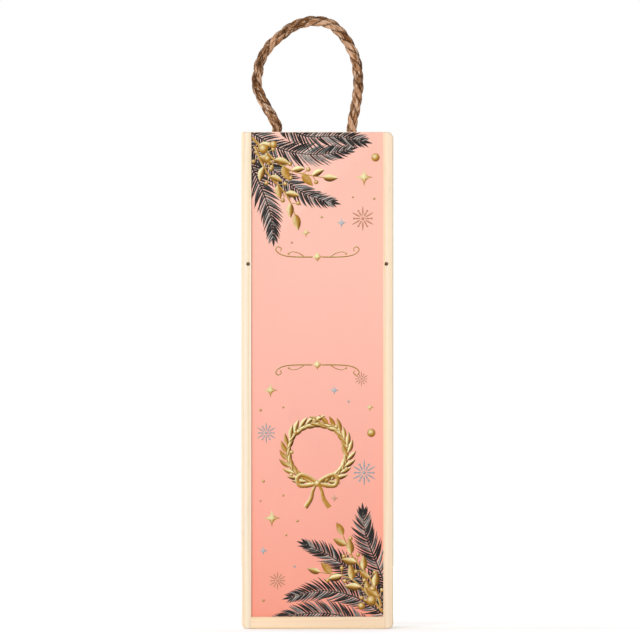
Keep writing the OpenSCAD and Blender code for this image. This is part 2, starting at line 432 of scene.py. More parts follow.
@dataclass(frozen=True)
class Pine:
    """Finish of one board: where its pith lies and how strongly its rings show."""

    name: str
    grain: Along
    pith: tuple[float, float]
    tilt: tuple[float, float] = (2.0, -1.5)
    early: str = "#FBE6CC"
    late: str = "#EFC998"
    ring_spacing: float = 3.2 * MM
    late_share: float = 0.5
    fibre: float = 0.10
    knot: Knot = Knot()

    def turns(self) -> tuple[Euler, Euler]:
        """Find how the board's grain is turned.

        Returns:
            The turn that brings the grain along Z, and the small tilt that follows it.
        """
        tilt_x, tilt_y = (math.radians(angle) for angle in self.tilt)
        along_z = Euler((0.0, math.radians(90) if self.grain is Along.X else 0.0, 0.0))
        return along_z, Euler((tilt_x, tilt_y, 0.0))

    def place(self, graph: Graph) -> NodeSocket:
        """Turn the object coordinates so that the pith runs along Z through the origin.

        Args:
            graph: The material's graph.

        Returns:
            The turned coordinates.
        """
        spot = graph.add("TexCoord").outputs["Object"]
        along_z, tilt = self.turns()
        spot = graph.add("Mapping", {"Vector": spot, "Rotation": along_z}).outputs[0]
        sockets = {"Vector": spot, "Rotation": tilt, "Location": (*self.pith, 0.0)}
        return graph.add("Mapping", sockets).outputs[0]

    def knot_place(self) -> Vector:
        """Find the knot's middle in the same coordinates."""
        along_z, tilt = self.turns()
        return tilt.to_matrix() @ along_z.to_matrix() @ Vector(self.knot.place) + Vector((*self.pith, 0.0))

    def end_grain(self, graph: Graph) -> NodeSocket:
        """Find the faces that cut across the grain.

        Args:
            graph: The material's graph.

        Returns:
            1 on those faces, and 0 on the others.
        """
        facing = graph.add("SeparateXYZ", {0: graph.add("TexCoord").outputs["Normal"]})
        across = facing.outputs[self.grain.value]
        return graph.spread(graph.calc("ABSOLUTE", across), 0.6, 0.95)

    def wood(self, graph: Graph, group: NodeTree) -> Node:
        """Place the pine group with this board's values.

        Args:
            graph: The material's graph.
            group: The shader group of planed pine.

        Returns:
            The group's node.
        """
        sockets = {
            "Vector": self.place(graph),
            "Early wood": linear(self.early),
            "Late wood": linear(self.late),
            "Ring spacing": self.ring_spacing,
            "Late share": self.late_share,
            "Fibre": self.fibre,
            "End grain": self.end_grain(graph),
            "Knot": self.knot_place(),
            "Knot radius": self.knot.radius,
        }
        return graph.group(group, sockets)

    def build(self, group: NodeTree) -> Material:
        """Build the board's material.

        Args:
            group: The shader group of planed pine.

        Returns:
            The material.
        """
        material, graph = new_material(self.name)
        wood = self.wood(graph, group)
        surface = {
            "Base Color": wood.outputs["Color"],
            "Roughness": wood.outputs["Roughness"],
            "Specular IOR Level": 0.35,
        }
        finish_surface(graph, surface, wood.outputs["Height"], 0.06 * MM)
        return material


@dataclass(frozen=True)
class PrintedGround:
    """The lid's printed front: a pink ground that deepens downwards, over the wood's own relief."""

    wood: Pine
    top: str = "#FFC5B4"
    upper: str = "#FEBCAC"
    lower: str = "#FEB19F"
    bottom: str = "#FDA691"
    show_through: float = 0.05

    def build(self, group: NodeTree, low_z: float, high_z: float) -> Material:
        """Build the print's material.

        Args:
            group: The shader group of planed pine.
            low_z: Height of the print's lower edge.
            high_z: Height of its upper edge.

        Returns:
            The material.
        """
        material, graph = new_material("printed_pink")
        wood = self.wood.wood(graph, group)
        spot = graph.add("TexCoord").outputs["Object"]
        height = graph.add("SeparateXYZ", {0: spot}).outputs[2]
        share = graph.add("MapRange", {0: height, 1: low_z, 2: high_z}).outputs[0]
        stops = [(0.0, self.bottom), (0.25, self.lower), (0.58, self.upper), (1.0, self.top)]
        ground = graph.ramp(share, stops)
        speckle = graph.noise(spot, 2600.0, 1.0)
        cloud = graph.noise(spot, 60.0, 2.0)
        tone = graph.calc("ADD", graph.calc("MULTIPLY", speckle, 0.03), graph.calc("MULTIPLY", cloud, 0.02))
        tone = graph.calc("ADD", tone, 0.975)
        tint = graph.add("CombineColor", {0: tone, 1: tone, 2: tone}).outputs[0]
        colour = graph.mix(1.0, ground, tint, "MULTIPLY")
        colour = graph.mix(self.show_through, colour, wood.outputs["Color"], "MULTIPLY")
        rough = graph.calc("MULTIPLY_ADD", cloud, 0.08, 0.42)
        surface = {"Base Color": colour, "Roughness": rough, "Specular IOR Level": 0.3}
        finish_surface(graph, surface, wood.outputs["Height"], 0.025 * MM)
        return material


@dataclass(frozen=True)
class InkFinish:
    """A printed ornament's finish: its tone is drawn from dark to light over each shape."""

    ink: Ink
    roughness: float = 0.5
    specular: float = 0.12

    def build(self) -> Material:
        """Build the ink's material.

        Returns:
            The material.
        """
        material, graph = new_material("ink_" + self.ink.name.lower())
        dark, middle, light = self.ink.value
        tone = graph.add("Attribute", attribute_name="tone").outputs["Fac"]
        spot = graph.add("TexCoord").outputs["Object"]
        brush = graph.calc("SUBTRACT", graph.noise(spot, 420.0, 2.0), 0.5)
        tone = graph.calc("MULTIPLY_ADD", brush, 0.25, tone)
        colour = graph.ramp(tone, [(0.0, dark), (0.5, middle), (1.0, light)])
        dots = graph.noise(spot, 3000.0, 1.0)
        rough = graph.calc("MULTIPLY_ADD", dots, 0.15, self.roughness - 0.07)
        surface = {"Base Color": colour, "Roughness": rough, "Specular IOR Level": self.specular}
        finish_surface(graph, surface, dots, 0.01 * MM)
        return material


@dataclass(frozen=True)
class Jute:
    """Twisted jute: streaks of fibre that run along the rope, and painted shade that darkens the grooves
    between the strands.
    """

    name: str = "jute"
    # Colour of the painted shade in the grooves between the strands.
    groove: str = "#4C2D16"
    low: str = "#40240E"
    middle: str = "#94643A"
    high: str = "#F6DFC8"
    warm: str = "#BE7C42"
    batch_shade: float = 0.10
    streak_size: tuple[float, float, float] = (2400.0, 2400.0, 90.0)
    strand_size: tuple[float, float, float] = (650.0, 650.0, 55.0)
    patch_size: tuple[float, float, float] = (110.0, 110.0, 45.0)
    batch_size: tuple[float, float, float] = (0.0, 0.0, 11.0)

    def build(self) -> Material:
        """Build the rope's material, which reads the attributes "lay" and "swell".

        Returns:
            The material.
        """
        material, graph = new_material(self.name)
        lay = graph.add("Attribute", attribute_name="lay").outputs["Vector"]
        swell = graph.add("Attribute", attribute_name="swell").outputs["Fac"]
        streak = graph.noise(graph.vector("MULTIPLY", lay, self.streak_size), 1.0, 3.0)
        strand = graph.noise(graph.vector("MULTIPLY", lay, self.strand_size), 1.0)
        patch = graph.noise(graph.vector("MULTIPLY", lay, self.patch_size), 1.0)
        batch = graph.noise(graph.vector("MULTIPLY", lay, self.batch_size), 1.0, 0.0)
        tone = graph.calc("MULTIPLY_ADD", streak, 0.6, graph.calc("MULTIPLY", strand, 0.4))
        tone = graph.calc("MULTIPLY_ADD", graph.calc("SUBTRACT", patch, 0.5), 0.55, tone)
        tone = graph.calc("MULTIPLY_ADD", graph.calc("SUBTRACT", batch, 0.5), self.batch_shade, tone)
        tone = graph.spread(tone, 0.37, 0.65)
        colour = graph.ramp(tone, [(0.0, self.low), (0.5, self.middle), (1.0, self.high)])
        glow = graph.calc("MULTIPLY", graph.spread(patch, 0.42, 0.66), 0.5)
        colour = graph.mix(glow, colour, linear(self.warm))
        # Painted shade: the colour darkens towards the groove colour where the strands dip into the grooves
        # between them.
        depth = graph.calc("MULTIPLY_ADD", graph.calc("SUBTRACT", strand, 0.5), 1.1, swell)
        depth = graph.spread(depth, -0.15, 0.85)
        colour = graph.mix(depth, linear(self.groove), colour)
        relief = graph.calc("MULTIPLY_ADD", strand, 0.5, streak)
        surface = {
            "Base Color": colour,
            "Roughness": graph.calc("MULTIPLY_ADD", streak, 0.1, 0.78),
            "Specular IOR Level": 0.15,
            "Sheen Weight": 0.1,
            "Sheen Roughness": 0.5,
        }
        finish_surface(graph, surface, relief, 0.22 * MM)
        return material


@dataclass(frozen=True)
class BradSteel:
    """Bright steel of the brads' heads, scratched by the hammer."""

    name: str = "brad_steel"

    def build(self) -> Material:
        """Build the brads' material.

        Returns:
            The material.
        """
        material, graph = new_material(self.name)
        spot = graph.add("TexCoord").outputs["Object"]
        mark = graph.noise(spot, 1800.0, 3.0)
        colour = graph.ramp(mark, [(0.3, "#77736C"), (0.7, "#B9B5AC")])
        rough = graph.calc("MULTIPLY_ADD", mark, 0.3, 0.28)
        surface = {"Base Color": colour, "Metallic": 1.0, "Roughness": rough}
        finish_surface(graph, surface, mark, 0.03 * MM)
        return material


@dataclass(frozen=True)
class StudioWhite:
    """The floor: pale, and white to the camera where no shadow falls."""

    shadow_glow: float = 0.34
    glow_start: float = 0.15
    glow_full: float = 0.9

    def build(self) -> Material:
        """Build the floor's material.

        Returns:
            The material.
        """
        material, graph = new_material("studio_floor")
        spot = graph.add("TexCoord").outputs["Object"]
        tone = graph.calc("MULTIPLY_ADD", graph.noise(spot, 3.0), 0.01, 0.9)
        colour = graph.add("CombineColor", {0: tone, 1: tone, 2: tone}).outputs[0]
        reach = graph.add("VectorMath", {0: spot}, operation="LENGTH").outputs["Value"]
        glow = graph.spread(reach, self.glow_start, self.glow_full, self.shadow_glow, 1.0)
        rays = graph.add("LightPath")
        seen = graph.calc("MAXIMUM", rays.outputs["Is Camera Ray"], rays.outputs["Is Glossy Ray"])
        surface = {
            "Base Color": colour,
            "Roughness": 0.9,
            "Specular IOR Level": 0.0,
            "Emission Color": WHITE,
            "Emission Strength": graph.calc("MULTIPLY", seen, glow),
        }
        finish_surface(graph, surface)
        return material


# ---------------------------------------------------------------- mesh building


def place_object(name: str, form: BMesh, materials: Sequence[Material]) -> Object:
    """Turn a bmesh into an object at the origin.

    Args:
        name: The object's name.
        form: The shape, which is freed.
        materials: Its materials, in the order of the faces' material numbers.

    Returns:
        The object, linked into the scene.
    """
    mesh = bpy.data.meshes.new(name)
    form.to_mesh(mesh)
    form.free()
    for material in materials:
        mesh.materials.append(material)
    obj = bpy.data.objects.new(name, mesh)
    bpy.context.scene.collection.objects.link(obj)
    return obj


def absorb(form: BMesh, part: BMesh) -> None:
    """Move one shape into another.

    Args:
        form: The shape that grows.
        part: The shape that joins it, which is freed.
    """
    mesh = bpy.data.meshes.new("part")
    part.to_mesh(mesh)
    part.free()
    form.from_mesh(mesh)
    bpy.data.meshes.remove(mesh)


def shade_by_angle(obj: Object, degrees: float = 32.0) -> None:
    """Shade an object smooth, with sharp edges where its faces turn by more than an angle."""
    obj.data.polygons.foreach_set("use_smooth", [True] * len(obj.data.polygons))
    obj.data.set_sharp_from_angle(angle=math.radians(degrees))


def block(low: Vector, high: Vector) -> BMesh:
    """Make a closed block.

    Args:
        low: The lowest corner.
        high: The highest corner.

    Returns:
        The block.
    """
    form = bmesh.new()
    spot = Matrix.Translation((low + high) / 2) @ Matrix.Diagonal((*(high - low), 1.0))
    bmesh.ops.create_cube(form, size=1.0, matrix=spot)
    return form


def prism(form: BMesh, outline: Sequence[Vector], way: Vector) -> None:
    """Add a closed prism.

    Args:
        form: The shape that it joins.
        outline: Corners of its foot, in order.
        way: The way from its foot to its far end.
    """
    part = bmesh.new()
    foot = part.faces.new([part.verts.new(spot) for spot in outline])
    grown = bmesh.ops.extrude_face_region(part, geom=[foot])["geom"]
    far = [item for item in grown if isinstance(item, BMVert)]
    bmesh.ops.translate(part, vec=way, verts=far)
    bmesh.ops.recalc_face_normals(part, faces=part.faces)
    absorb(form, part)


def round_edges(form: BMesh, radius: float, test: EdgeTest, segments: int = 3) -> None:
    """Round the edges whose two ends pass a test.

    Args:
        form: The shape.
        radius: Radius of the rounding.
        test: Says from an edge's two ends whether it is rounded.
        segments: Faces across the rounding.
    """
    form.edges.ensure_lookup_table()
    chosen = [edge for edge in form.edges if test(*(vertex.co for vertex in edge.verts))]
    bmesh.ops.bevel(
        form,
        geom=chosen,
        offset=radius,
        segments=segments,
        profile=0.5,
        affect="EDGES",
        material=-1,
        clamp_overlap=True,
    )


def turned(form: BMesh, foot: Vector, way: Vector, profile: Profile, sides: int = 32) -> None:
    """Add a closed turned shape.

    Args:
        form: The shape that it joins.
        foot: The point of its axis from which the profile is measured.
        way: Direction of its axis.
        profile: Distance along the axis and radius of each ring, from one end to the other.
        sides: Faces round it.
    """
    part = bmesh.new()
    rings = [(profile[0][0], 0.0), *profile, (profile[-1][0], 0.0)]
    verts = [part.verts.new((radius, 0.0, along)) for along, radius in rings]
    edges = [part.edges.new(pair) for pair in zip(verts, verts[1:])]
    bmesh.ops.spin(
        part,
        geom=verts + edges,
        axis=UP,
        angle=2 * math.pi,
        steps=sides,
        use_merge=True,
    )
    bmesh.ops.remove_doubles(part, verts=part.verts, dist=WELD)
    bmesh.ops.recalc_face_normals(part, faces=part.faces)
    turn = UP.rotation_difference(way).to_matrix().to_4x4()
    bmesh.ops.transform(part, matrix=Matrix.Translation(foot) @ turn, verts=part.verts)
    absorb(form, part)


def cut_away(obj: Object, cutters: Sequence[BMesh]) -> None:
    """Cut closed shapes out of an object, one after the other.

    Args:
        obj: The object that is cut.
        cutters: The shapes, which are freed.
    """
    for number, form in enumerate(cutters):
        bmesh.ops.recalc_face_normals(form, faces=form.faces)
        tool = place_object(f"{obj.name}_cutter_{number}", form, [])
        modifier = obj.modifiers.new("cut", "BOOLEAN")
        modifier.operation = "DIFFERENCE"
        modifier.solver = "EXACT"
        modifier.object = tool
        scene_state = bpy.context.evaluated_depsgraph_get()
        result = bpy.data.meshes.new_from_object(obj.evaluated_get(scene_state))
        obj.modifiers.remove(modifier)
        old = obj.data
        obj.data = result
        result.name = obj.name
        bpy.data.meshes.remove(old)
        bpy.data.objects.remove(tool)


def loose_parts(obj: Object) -> list[tuple[Vector, Vector]]:
    """Find the separate solids in a node's mesh.

    Args:
        obj: The node's object, which is left as it is.

    Returns:
        The lowest and highest corner of each solid.
    """
    form = bmesh.new()
    form.from_mesh(obj.data)
    bmesh.ops.remove_doubles(form, verts=form.verts, dist=WELD)
    waiting = set(form.verts)
    found = []
    while waiting:
        group = [waiting.pop()]
        for vertex in group:
            for edge in vertex.link_edges:
                other = edge.other_vert(vertex)
                if other in waiting:
                    waiting.remove(other)
                    group.append(other)
        spots = [vertex.co for vertex in group]
        low = Vector([min(spot[i] for spot in spots) for i in range(3)])
        high = Vector([max(spot[i] for spot in spots) for i in range(3)])
        found.append((low, high))
    form.free()
    return sorted(found, key=lambda corners: tuple(corners[0]))


# ---------------------------------------------------------------- rope


@dataclass
class RopeHandle:
    """One jute rope: knotted under the top board, up through a hole, over and down again.

    The route is x and the height above the fold line, in millimetres, from the left hole
    over the loop to the right hole.
    """

    jute: Material
    diameter: float = 7.0 * MM
    fold_gap: float = 0.3 * MM
    route: tuple[tuple[float, float], ...] = (
        (-28.5, 0), (-30.5, 5), (-34, 11), (-38, 18), (-41.5, 25), (-43, 32), (-42, 38),
        (-41, 44.5), (-38.5, 50.5), (-34.5, 56.5), (-29, 62), (-22.5, 67.5), (-15.5, 72),
        (-7.5, 74.5), (0.5, 75), (8, 73.5), (14, 69.5), (19.5, 63), (24, 55.5), (27, 48),
        (28.5, 40), (29, 32), (28.5, 24.5), (27.5, 17), (26, 10), (25, 4.5), (24.5, 0),
    )
    strands: int = 3
    points_per_strand: int = 24
    ring_step: float = 0.6 * MM
    lay_length: float = 25.0 * MM
    strand_radius: float = 0.345
    strand_offset: float = 0.18
    strand_shift: float = 0.37
    yarns: int = 5
    yarn_length: float = 11.0 * MM
    yarn_depth: float = 0.018
    rough_depth: float = 0.02
    rough_length: float = 2.5 * MM
    thick_change: float = 0.07
    thick_length: float = 24.0 * MM
    sway: float = 0.8 * MM
    stiff_height: float = 20.0 * MM
    bend_height: float = 10.0 * MM
    hairs: int = 700
    hair_start: float = 1.0 * MM
    seed: int = 7

    def __post_init__(self) -> None:
        """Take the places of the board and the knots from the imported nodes."""
        top_low, top_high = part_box("top_board")
        loop_low, loop_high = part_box("rope_loop")
        self.board_top = top_high.z
        self.board_under = top_low.z
        self.y = (loop_low.y + loop_high.y) / 2
        self.fold_z = self.board_top + self.diameter / 2 + self.fold_gap
        self.knot_top = self.board_under - self.fold_gap

    def route_points(self) -> list[Vector]:
        """Place the chosen points, with the stretches through the top board.

        Returns:
            The points from knot to knot.
        """
        points = [Vector((x * MM, self.y, self.fold_z + z * MM)) for x, z in self.route]
        depth = self.fold_z - self.knot_top
        for share in (0.35, 0.7, 1.0):
            down = Vector((0.0, 0.0, -depth * share))
            points.insert(0, Vector((self.route[0][0] * MM, self.y, self.fold_z)) + down)
            points.append(Vector((self.route[-1][0] * MM, self.y, self.fold_z)) + down)
        return points

    def centreline(self) -> list[Vector]:
        """Lay the rope along its points, with a slight sway out of its plane.

        Returns:
            Its centreline at even steps.
        """
        line = even_steps(smooth_line(self.route_points()), self.ring_step)
        for number, point in enumerate(line):
            share = number / (len(line) - 1)
            rise = min(1.0, max(0.0, (point.z - self.fold_z) / self.stiff_height))
            point.y += rise * self.sway * math.sin(2 * math.pi * (1.5 * share + 0.1))
        return line

    def build_rope(self) -> Object:
        """Returns:
            The rope's object.
        """
        line = self.centreline()
        rope = strand_tube("jute_rope", line, self)
        self.bend_at_fold(rope)
        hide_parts("rope_loop")
        return rope

    def bend_at_fold(self, piece: Object) -> None:
        """Bake a piece's transform into its mesh."""
        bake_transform(piece)

    def build_hairs(self) -> Object:
        """Build the loose fibres that stand off the rope.

        Returns:
            The fibres' object.
        """
        line = self.centreline()
        frames = path_frames(line)
        draw = random.Random(self.seed)
        form = bmesh.new()
        first = next(i for i, point in enumerate(line) if point.z > self.board_top + self.hair_start)
        for _ in range(self.hairs):
            number = draw.randint(first, len(line) - 1 - first)
            across, up, forward = frames[number]
            angle = draw.uniform(0.0, 2 * math.pi)
            out = across * math.cos(angle) + up * math.sin(angle)
            side = forward.cross(out)
            length = draw.uniform(1.0, 4.5) * MM
            lean = forward * draw.choice((-1.0, 1.0)) * draw.uniform(0.4, 1.0)
            lean += side * draw.uniform(-0.7, 0.7)
            way = (out * draw.uniform(0.15, 0.5) + lean).normalized()
            curl = (out * draw.uniform(-0.9, 0.5) + side * draw.uniform(-0.8, 0.8)) / length
            root = line[number] + out * self.diameter * draw.uniform(0.36, 0.46)
            hair(form, root, way, curl, length, draw.uniform(0.025, 0.04) * MM)
        hairs = place_object("rope_hairs", form, [self.jute])
        add_rope_attributes(hairs)
        self.bend_at_fold(hairs)
        return hairs

    def build_knot(self, side: Side) -> Object:
        """Build a knot with its loose end.

        Args:
            side: Which of the two knots.

        Returns:
            The knot's object, which stands for the rope's tail on that side.
        """
        node = f"rope_tail_{side.name.lower()}"
        low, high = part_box(node)
        x = self.route[0][0] if side is Side.LEFT else self.route[-1][0]
        top = Vector((x * MM, self.y, self.knot_top))
        knot = RopeKnot(top, low.z, side, self)
        piece = knot.build()
        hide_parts(node)
        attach(piece, "case")
        return piece

    def build(self) -> list[Object]:
        """Build the whole handle.

        Returns:
            The rope, its fibres and its two knots.
        """
        rope = self.build_rope()
        hairs = self.build_hairs()
        knots = [self.build_knot(side) for side in Side]
        line = self.centreline()
        return [rope, hairs, *knots]


@dataclass
class RopeKnot:
    """A knot pulled tight against the top board, with a short frayed end below it."""

    top: Vector
    low_z: float
    side: Side
    rope: RopeHandle
    height: float = 14.5 * MM
    turns: float = 1.6
    turn_steps: int = 22
    coil_radius: float = 6.2 * MM
    squeeze: float = 0.92
    fray: float = 0.16

    def centreline(self) -> list[Vector]:
        """Lead the rope down the middle, out below, round itself and in at the top.

        Returns:
            The points that it passes.
        """
        radius = self.rope.diameter / 2
        hand = self.side.value
        points = [self.top, self.top + Vector((0.0, 0.0, -0.35 * self.height))]
        points.append(self.top + Vector((0.3 * radius, 0.0, -0.8 * self.height)))
        for step in range(self.turn_steps + 1):
            share = step / self.turn_steps
            angle = 2 * math.pi * self.turns * share
            reach = self.coil_radius * min(1.0, 0.55 + share * 4.0)
            drop = self.height - radius * 0.75 - share * (self.height - 1.9 * radius)
            spot = Vector((reach * math.cos(angle), hand * reach * math.sin(angle), -drop))
            points.append(self.top + spot)
        points.append(self.top + Vector((-1.5 * MM, 0.0, -radius)))
        return points

    def loose_end(self) -> list[Vector]:
        """Lead the short end down from the knot.

        Returns:
            The points that it passes.
        """
        start = self.top + Vector((-1.6 * MM, 1.0 * MM * self.side.value, -9.0 * MM))
        finish = Vector((start.x - 2.2 * MM, start.y - 1.2 * MM * self.side.value, self.low_z + 0.8 * MM))
        middle = (start + finish) / 2 + Vector((0.6 * MM, 0.8 * MM, 0.0))
        return [start, middle, finish]

    def build(self) -> Object:
        """Build the knot and its loose end as one piece.

        Returns:
            The knot's object.
        """
        step = self.rope.ring_step
        wound = even_steps(smooth_line(self.centreline()), step)
        loose = even_steps(smooth_line(self.loose_end()), step)
        name = f"rope_knot_{self.side.name.lower()}"
        knot = strand_tube(name, wound, self.rope, self.squeeze)
        end = strand_tube(name + "_end", loose, self.rope, 1.0, self.fray)
        form = bmesh.new()
        form.from_mesh(knot.data)
        form.from_mesh(end.data)
        for spare in (knot, end):
            bpy.data.meshes.remove(spare.data)
        piece = place_object(name, form, [self.rope.jute])
        shade_by_angle(piece, 60.0)
        return piece


def smooth_line(points: Sequence[Vector], steps: int = 12) -> list[Vector]:
    """Run a smooth curve through points.

    Args:
        points: The points that it passes.
        steps: Points on each stretch between two of them.

    Returns:
        The curve's points.
    """
    line = []
    last = len(points) - 1
    for number in range(last):
        before = points[max(number - 1, 0)]
        start, end = points[number], points[number + 1]
        after = points[min(number + 2, last)]
        for step in range(steps):
            t = step / steps
            near = 2 * start + (end - before) * t
            far = (2 * before - 5 * start + 4 * end - after) * t**2
            line.append((near + far + (3 * start - before - 3 * end + after) * t**3) / 2)
    line.append(points[last].copy())
    return line


def even_steps(line: Sequence[Vector], step: float) -> list[Vector]:
    """Place points at even steps along a line.

    Args:
        line: The line's points.
        step: The wanted distance between two points.

    Returns:
        The new points, with both ends kept.
    """
    lengths = [0.0]
    for start, end in zip(line, line[1:]):
        lengths.append(lengths[-1] + (end - start).length)
    count = max(2, round(lengths[-1] / step))
    found, stretch = [], 0
    for number in range(count + 1):
        reach = lengths[-1] * number / count
        while stretch < len(line) - 2 and lengths[stretch + 1] < reach:
            stretch += 1
        span = max(lengths[stretch + 1] - lengths[stretch], 1e-9)
        found.append(line[stretch].lerp(line[stretch + 1], (reach - lengths[stretch]) / span))
    return found


def path_frames(line: Sequence[Vector]) -> list[tuple[Vector, Vector, Vector]]:
    """Carry a frame along a line without twisting it.

    Args:
        line: The line's points.

    Returns:
        Two directions across the line and one along it, at each point.
    """
    frames = []
    across = Vector((0.0, 1.0, 0.0))
    last = len(line) - 1
    for number in range(last + 1):
        forward = (line[min(number + 1, last)] - line[max(number - 1, 0)]).normalized()
        across = across - forward * across.dot(forward)
        if across.length < NEAR:
            across = forward.orthogonal()
        across.normalize()
        frames.append((across.copy(), forward.cross(across), forward))
    return frames


def lobe(angle: float, rope: RopeHandle) -> float:
    """Find how far the rope's outline lies from its centre.

    Args:
        angle: Direction from the centre, in radians, 0 at the middle of a strand.
        rope: The rope's sizes.

    Returns:
        The distance as a share of the rope's diameter.
    """
    share = 2 * math.pi / rope.strands
    off = (angle + share / 2) % share - share / 2
    reach = rope.strand_offset * math.cos(off)
    rest = rope.strand_radius**2 - (rope.strand_offset * math.sin(off)) ** 2
    return reach + math.sqrt(max(rest, 0.0))


def strand_tube(
    name: str, line: Sequence[Vector], rope: RopeHandle, squeeze: float = 1.0, fray: float = 0.0
) -> Object:
    """Lay up a rope of twisted strands and bend it along a line.

    Args:
        name: The object's name.
        line: Its centreline at even steps.
        rope: The rope's sizes and finish.
        squeeze: Its thickness where a knot squeezes it, as a share of the free rope's.
        fray: How far its last end opens, as a share of its diameter.

    Returns:
        The rope's object, with the attributes "lay" and "swell".
    """
    around = rope.strands * rope.points_per_strand
    count = len(line) - 1
    length = sum((b - a).length for a, b in zip(line, line[1:]))
    step = length / count
    turn = -2 * math.pi * length / rope.lay_length
    form = bmesh.new()
    bmesh.ops.create_circle(form, segments=around, radius=rope.diameter / 2)
    bmesh.ops.spin(
        form,
        geom=[*form.verts, *form.edges],
        axis=UP,
        dvec=UP * step,
        angle=turn,
        steps=count,
    )
    rims = [edge for edge in form.edges if edge.is_boundary]
    bmesh.ops.holes_fill(form, edges=rims, sides=0)
    bmesh.ops.recalc_face_normals(form, faces=form.faces)
    lay = form.verts.layers.float_vector.new("lay")
    swell = form.verts.layers.float.new("swell")
    frames = path_frames(line)
    deepest = lobe(math.pi / rope.strands, rope)
    strand_angle = 2 * math.pi / rope.strands
    fray_start = 0.6
    for vertex in form.verts:
        number = min(count, max(0, round(vertex.co.z / step)))
        along = number * step
        flat = math.atan2(vertex.co.y, vertex.co.x)
        rested = flat - turn * number / count
        reach = lobe(rested, rope)
        strand = round(rested / strand_angle) % rope.strands
        round_strand = (rested / strand_angle - round(rested / strand_angle)) * rope.strands
        yarn_phase = rope.yarns * round_strand * 2.2 + 2 * math.pi * along / rope.yarn_length
        bump = rope.yarn_depth * math.cos(yarn_phase)
        outward = Vector((math.cos(flat), math.sin(flat), 0.0))
        rough = noise.noise(outward * 4 + UP * (along / rope.rough_length))
        thick = noise.noise(Vector((along / rope.thick_length, 4.5, 7.3 * strand)))
        opened = 1.0 + fray * max(0.0, number / count - fray_start) / (1.0 - fray_start)
        radius = rope.diameter * (reach + bump + rope.rough_depth * rough) * (1 + rope.thick_change * thick)
        vertex[lay] = outward * reach * rope.diameter + UP * (along + strand * rope.strand_shift)
        vertex[swell] = (reach - deepest) / (0.5 - deepest) + bump * 8
        across, up, _ = frames[number]
        way = across * math.cos(flat) + up * math.sin(flat)
        vertex.co = line[number] + way * (radius * squeeze * opened)
    piece = place_object(name, form, [rope.jute])
    shade_by_angle(piece, 60.0)
    return piece


def hair(form: BMesh, root: Vector, way: Vector, curl: Vector, length: float, radius: float) -> None:
    """Add one loose fibre.

    Args:
        form: The shape that it joins.
        root: Where it leaves the rope.
        way: The direction in which it leaves.
        curl: How its direction changes along it, per metre.
        length: Its length.
        radius: Its radius at the root.
    """
    steps = 4
    taper, tip = 0.8, 0.3
    part = bmesh.new()
    ring = bmesh.ops.create_circle(part, cap_ends=True, segments=3, radius=radius)["verts"]
    turn = UP.rotation_difference(way).to_matrix().to_4x4()
    bmesh.ops.transform(part, matrix=Matrix.Translation(root) @ turn, verts=ring)
    face = next(iter(part.faces))
    heading = way.copy()
    for step in range(steps):
        grown = bmesh.ops.extrude_face_region(part, geom=[face, *face.edges])["geom"]
        face = next(item for item in grown if isinstance(item, BMFace))
        heading = (heading + curl * (length / steps)).normalized()
        verts = list(face.verts)
        bmesh.ops.translate(part, vec=heading * (length / steps), verts=verts)
        centre = face.calc_center_median()
        shrink = taper if step < steps - 1 else tip
        bmesh.ops.scale(part, vec=(shrink,) * 3, space=Matrix.Translation(-centre), verts=verts)
    bmesh.ops.recalc_face_normals(part, faces=part.faces)
    absorb(form, part)


def add_rope_attributes(obj: Object, swell: float = 0.8) -> None:
    """Give loose fibres the two attributes that the jute material reads.

    Args:
        obj: The fibres' object.
        swell: How far out of the grooves they count as lying.
    """
    mesh = obj.data
    lay = mesh.attributes.new("lay", "FLOAT_VECTOR", "POINT")
    lay.data.foreach_set("vector", [value for vertex in mesh.vertices for value in vertex.co])
    out = mesh.attributes.new("swell", "FLOAT", "POINT")
    out.data.foreach_set("value", [swell] * len(mesh.vertices))


# ---------------------------------------------------------------- case


@dataclass
class Fasteners:
    """The brads: their heads' places, and the small recess that each one leaves in the wood."""

    nodes: dict[str, Object]
    groups: tuple[str, ...] = ("bottom_brads", "top_brads", "neck_rest_brads", "back_brads")
    rim: float = 0.16 * MM
    recess: float = 0.95 * MM
    recess_sides: int = 24

    def heads(self, outside: Callable[[Vector, Vector], bool]) -> list[tuple[Vector, Vector]]:
        """Find the brads whose box passes a test, as their lowest and highest corners."""
        brads = [corners for name in self.groups for corners in loose_parts(self.nodes[name])]
        return [corners for corners in brads if outside(*corners)]

    def side_recesses(self, side: Side, face_x: float) -> BMesh:
        """Shape the recesses in the outer face of a side board.

        Args:
            side: Which side board.
            face_x: Where its outer face lies.

        Returns:
            The closed shapes to cut.
        """
        form = bmesh.new()
        inward = Vector((-side.value, 0.0, 0.0))
        for low, high in self.heads(lambda low, high: max(abs(low.x), abs(high.x)) > abs(face_x) - MM):
            if (low.x + high.x) * side.value < 0:
                continue
            centre = Vector((face_x, (low.y + high.y) / 2, (low.z + high.z) / 2))
            radius = (high.z - low.z) / 2 + self.rim
            turned(form, centre, inward, [(-OVERCUT, radius), (self.recess, radius)], self.recess_sides)
        return form

    def back_recesses(self, face_y: float) -> BMesh:
        """Shape the recesses in the back panel's outer face.

        Args:
            face_y: Where that face lies.

        Returns:
            The closed shapes to cut.
        """
        form = bmesh.new()
        inward = Vector((0.0, -1.0, 0.0))
        for low, high in self.heads(lambda low, high: high.y > face_y - 0.1 * MM):
            centre = Vector(((low.x + high.x) / 2, face_y, (low.z + high.z) / 2))
            radius = (high.z - low.z) / 2 + self.rim
            turned(form, centre, inward, [(-OVERCUT, radius), (self.recess, radius)], self.recess_sides)
        return form

    def dress(self, steel: Material) -> list[Object]:
        """Give the brads their steel.

        Args:
            steel: Their material.

        Returns:
            The nodes' own objects, whose shapes stay.
        """
        pieces = [self.nodes[name] for name in self.groups]
        for piece in pieces:
            piece.data.materials.clear()
            piece.data.materials.append(steel)
        return pieces


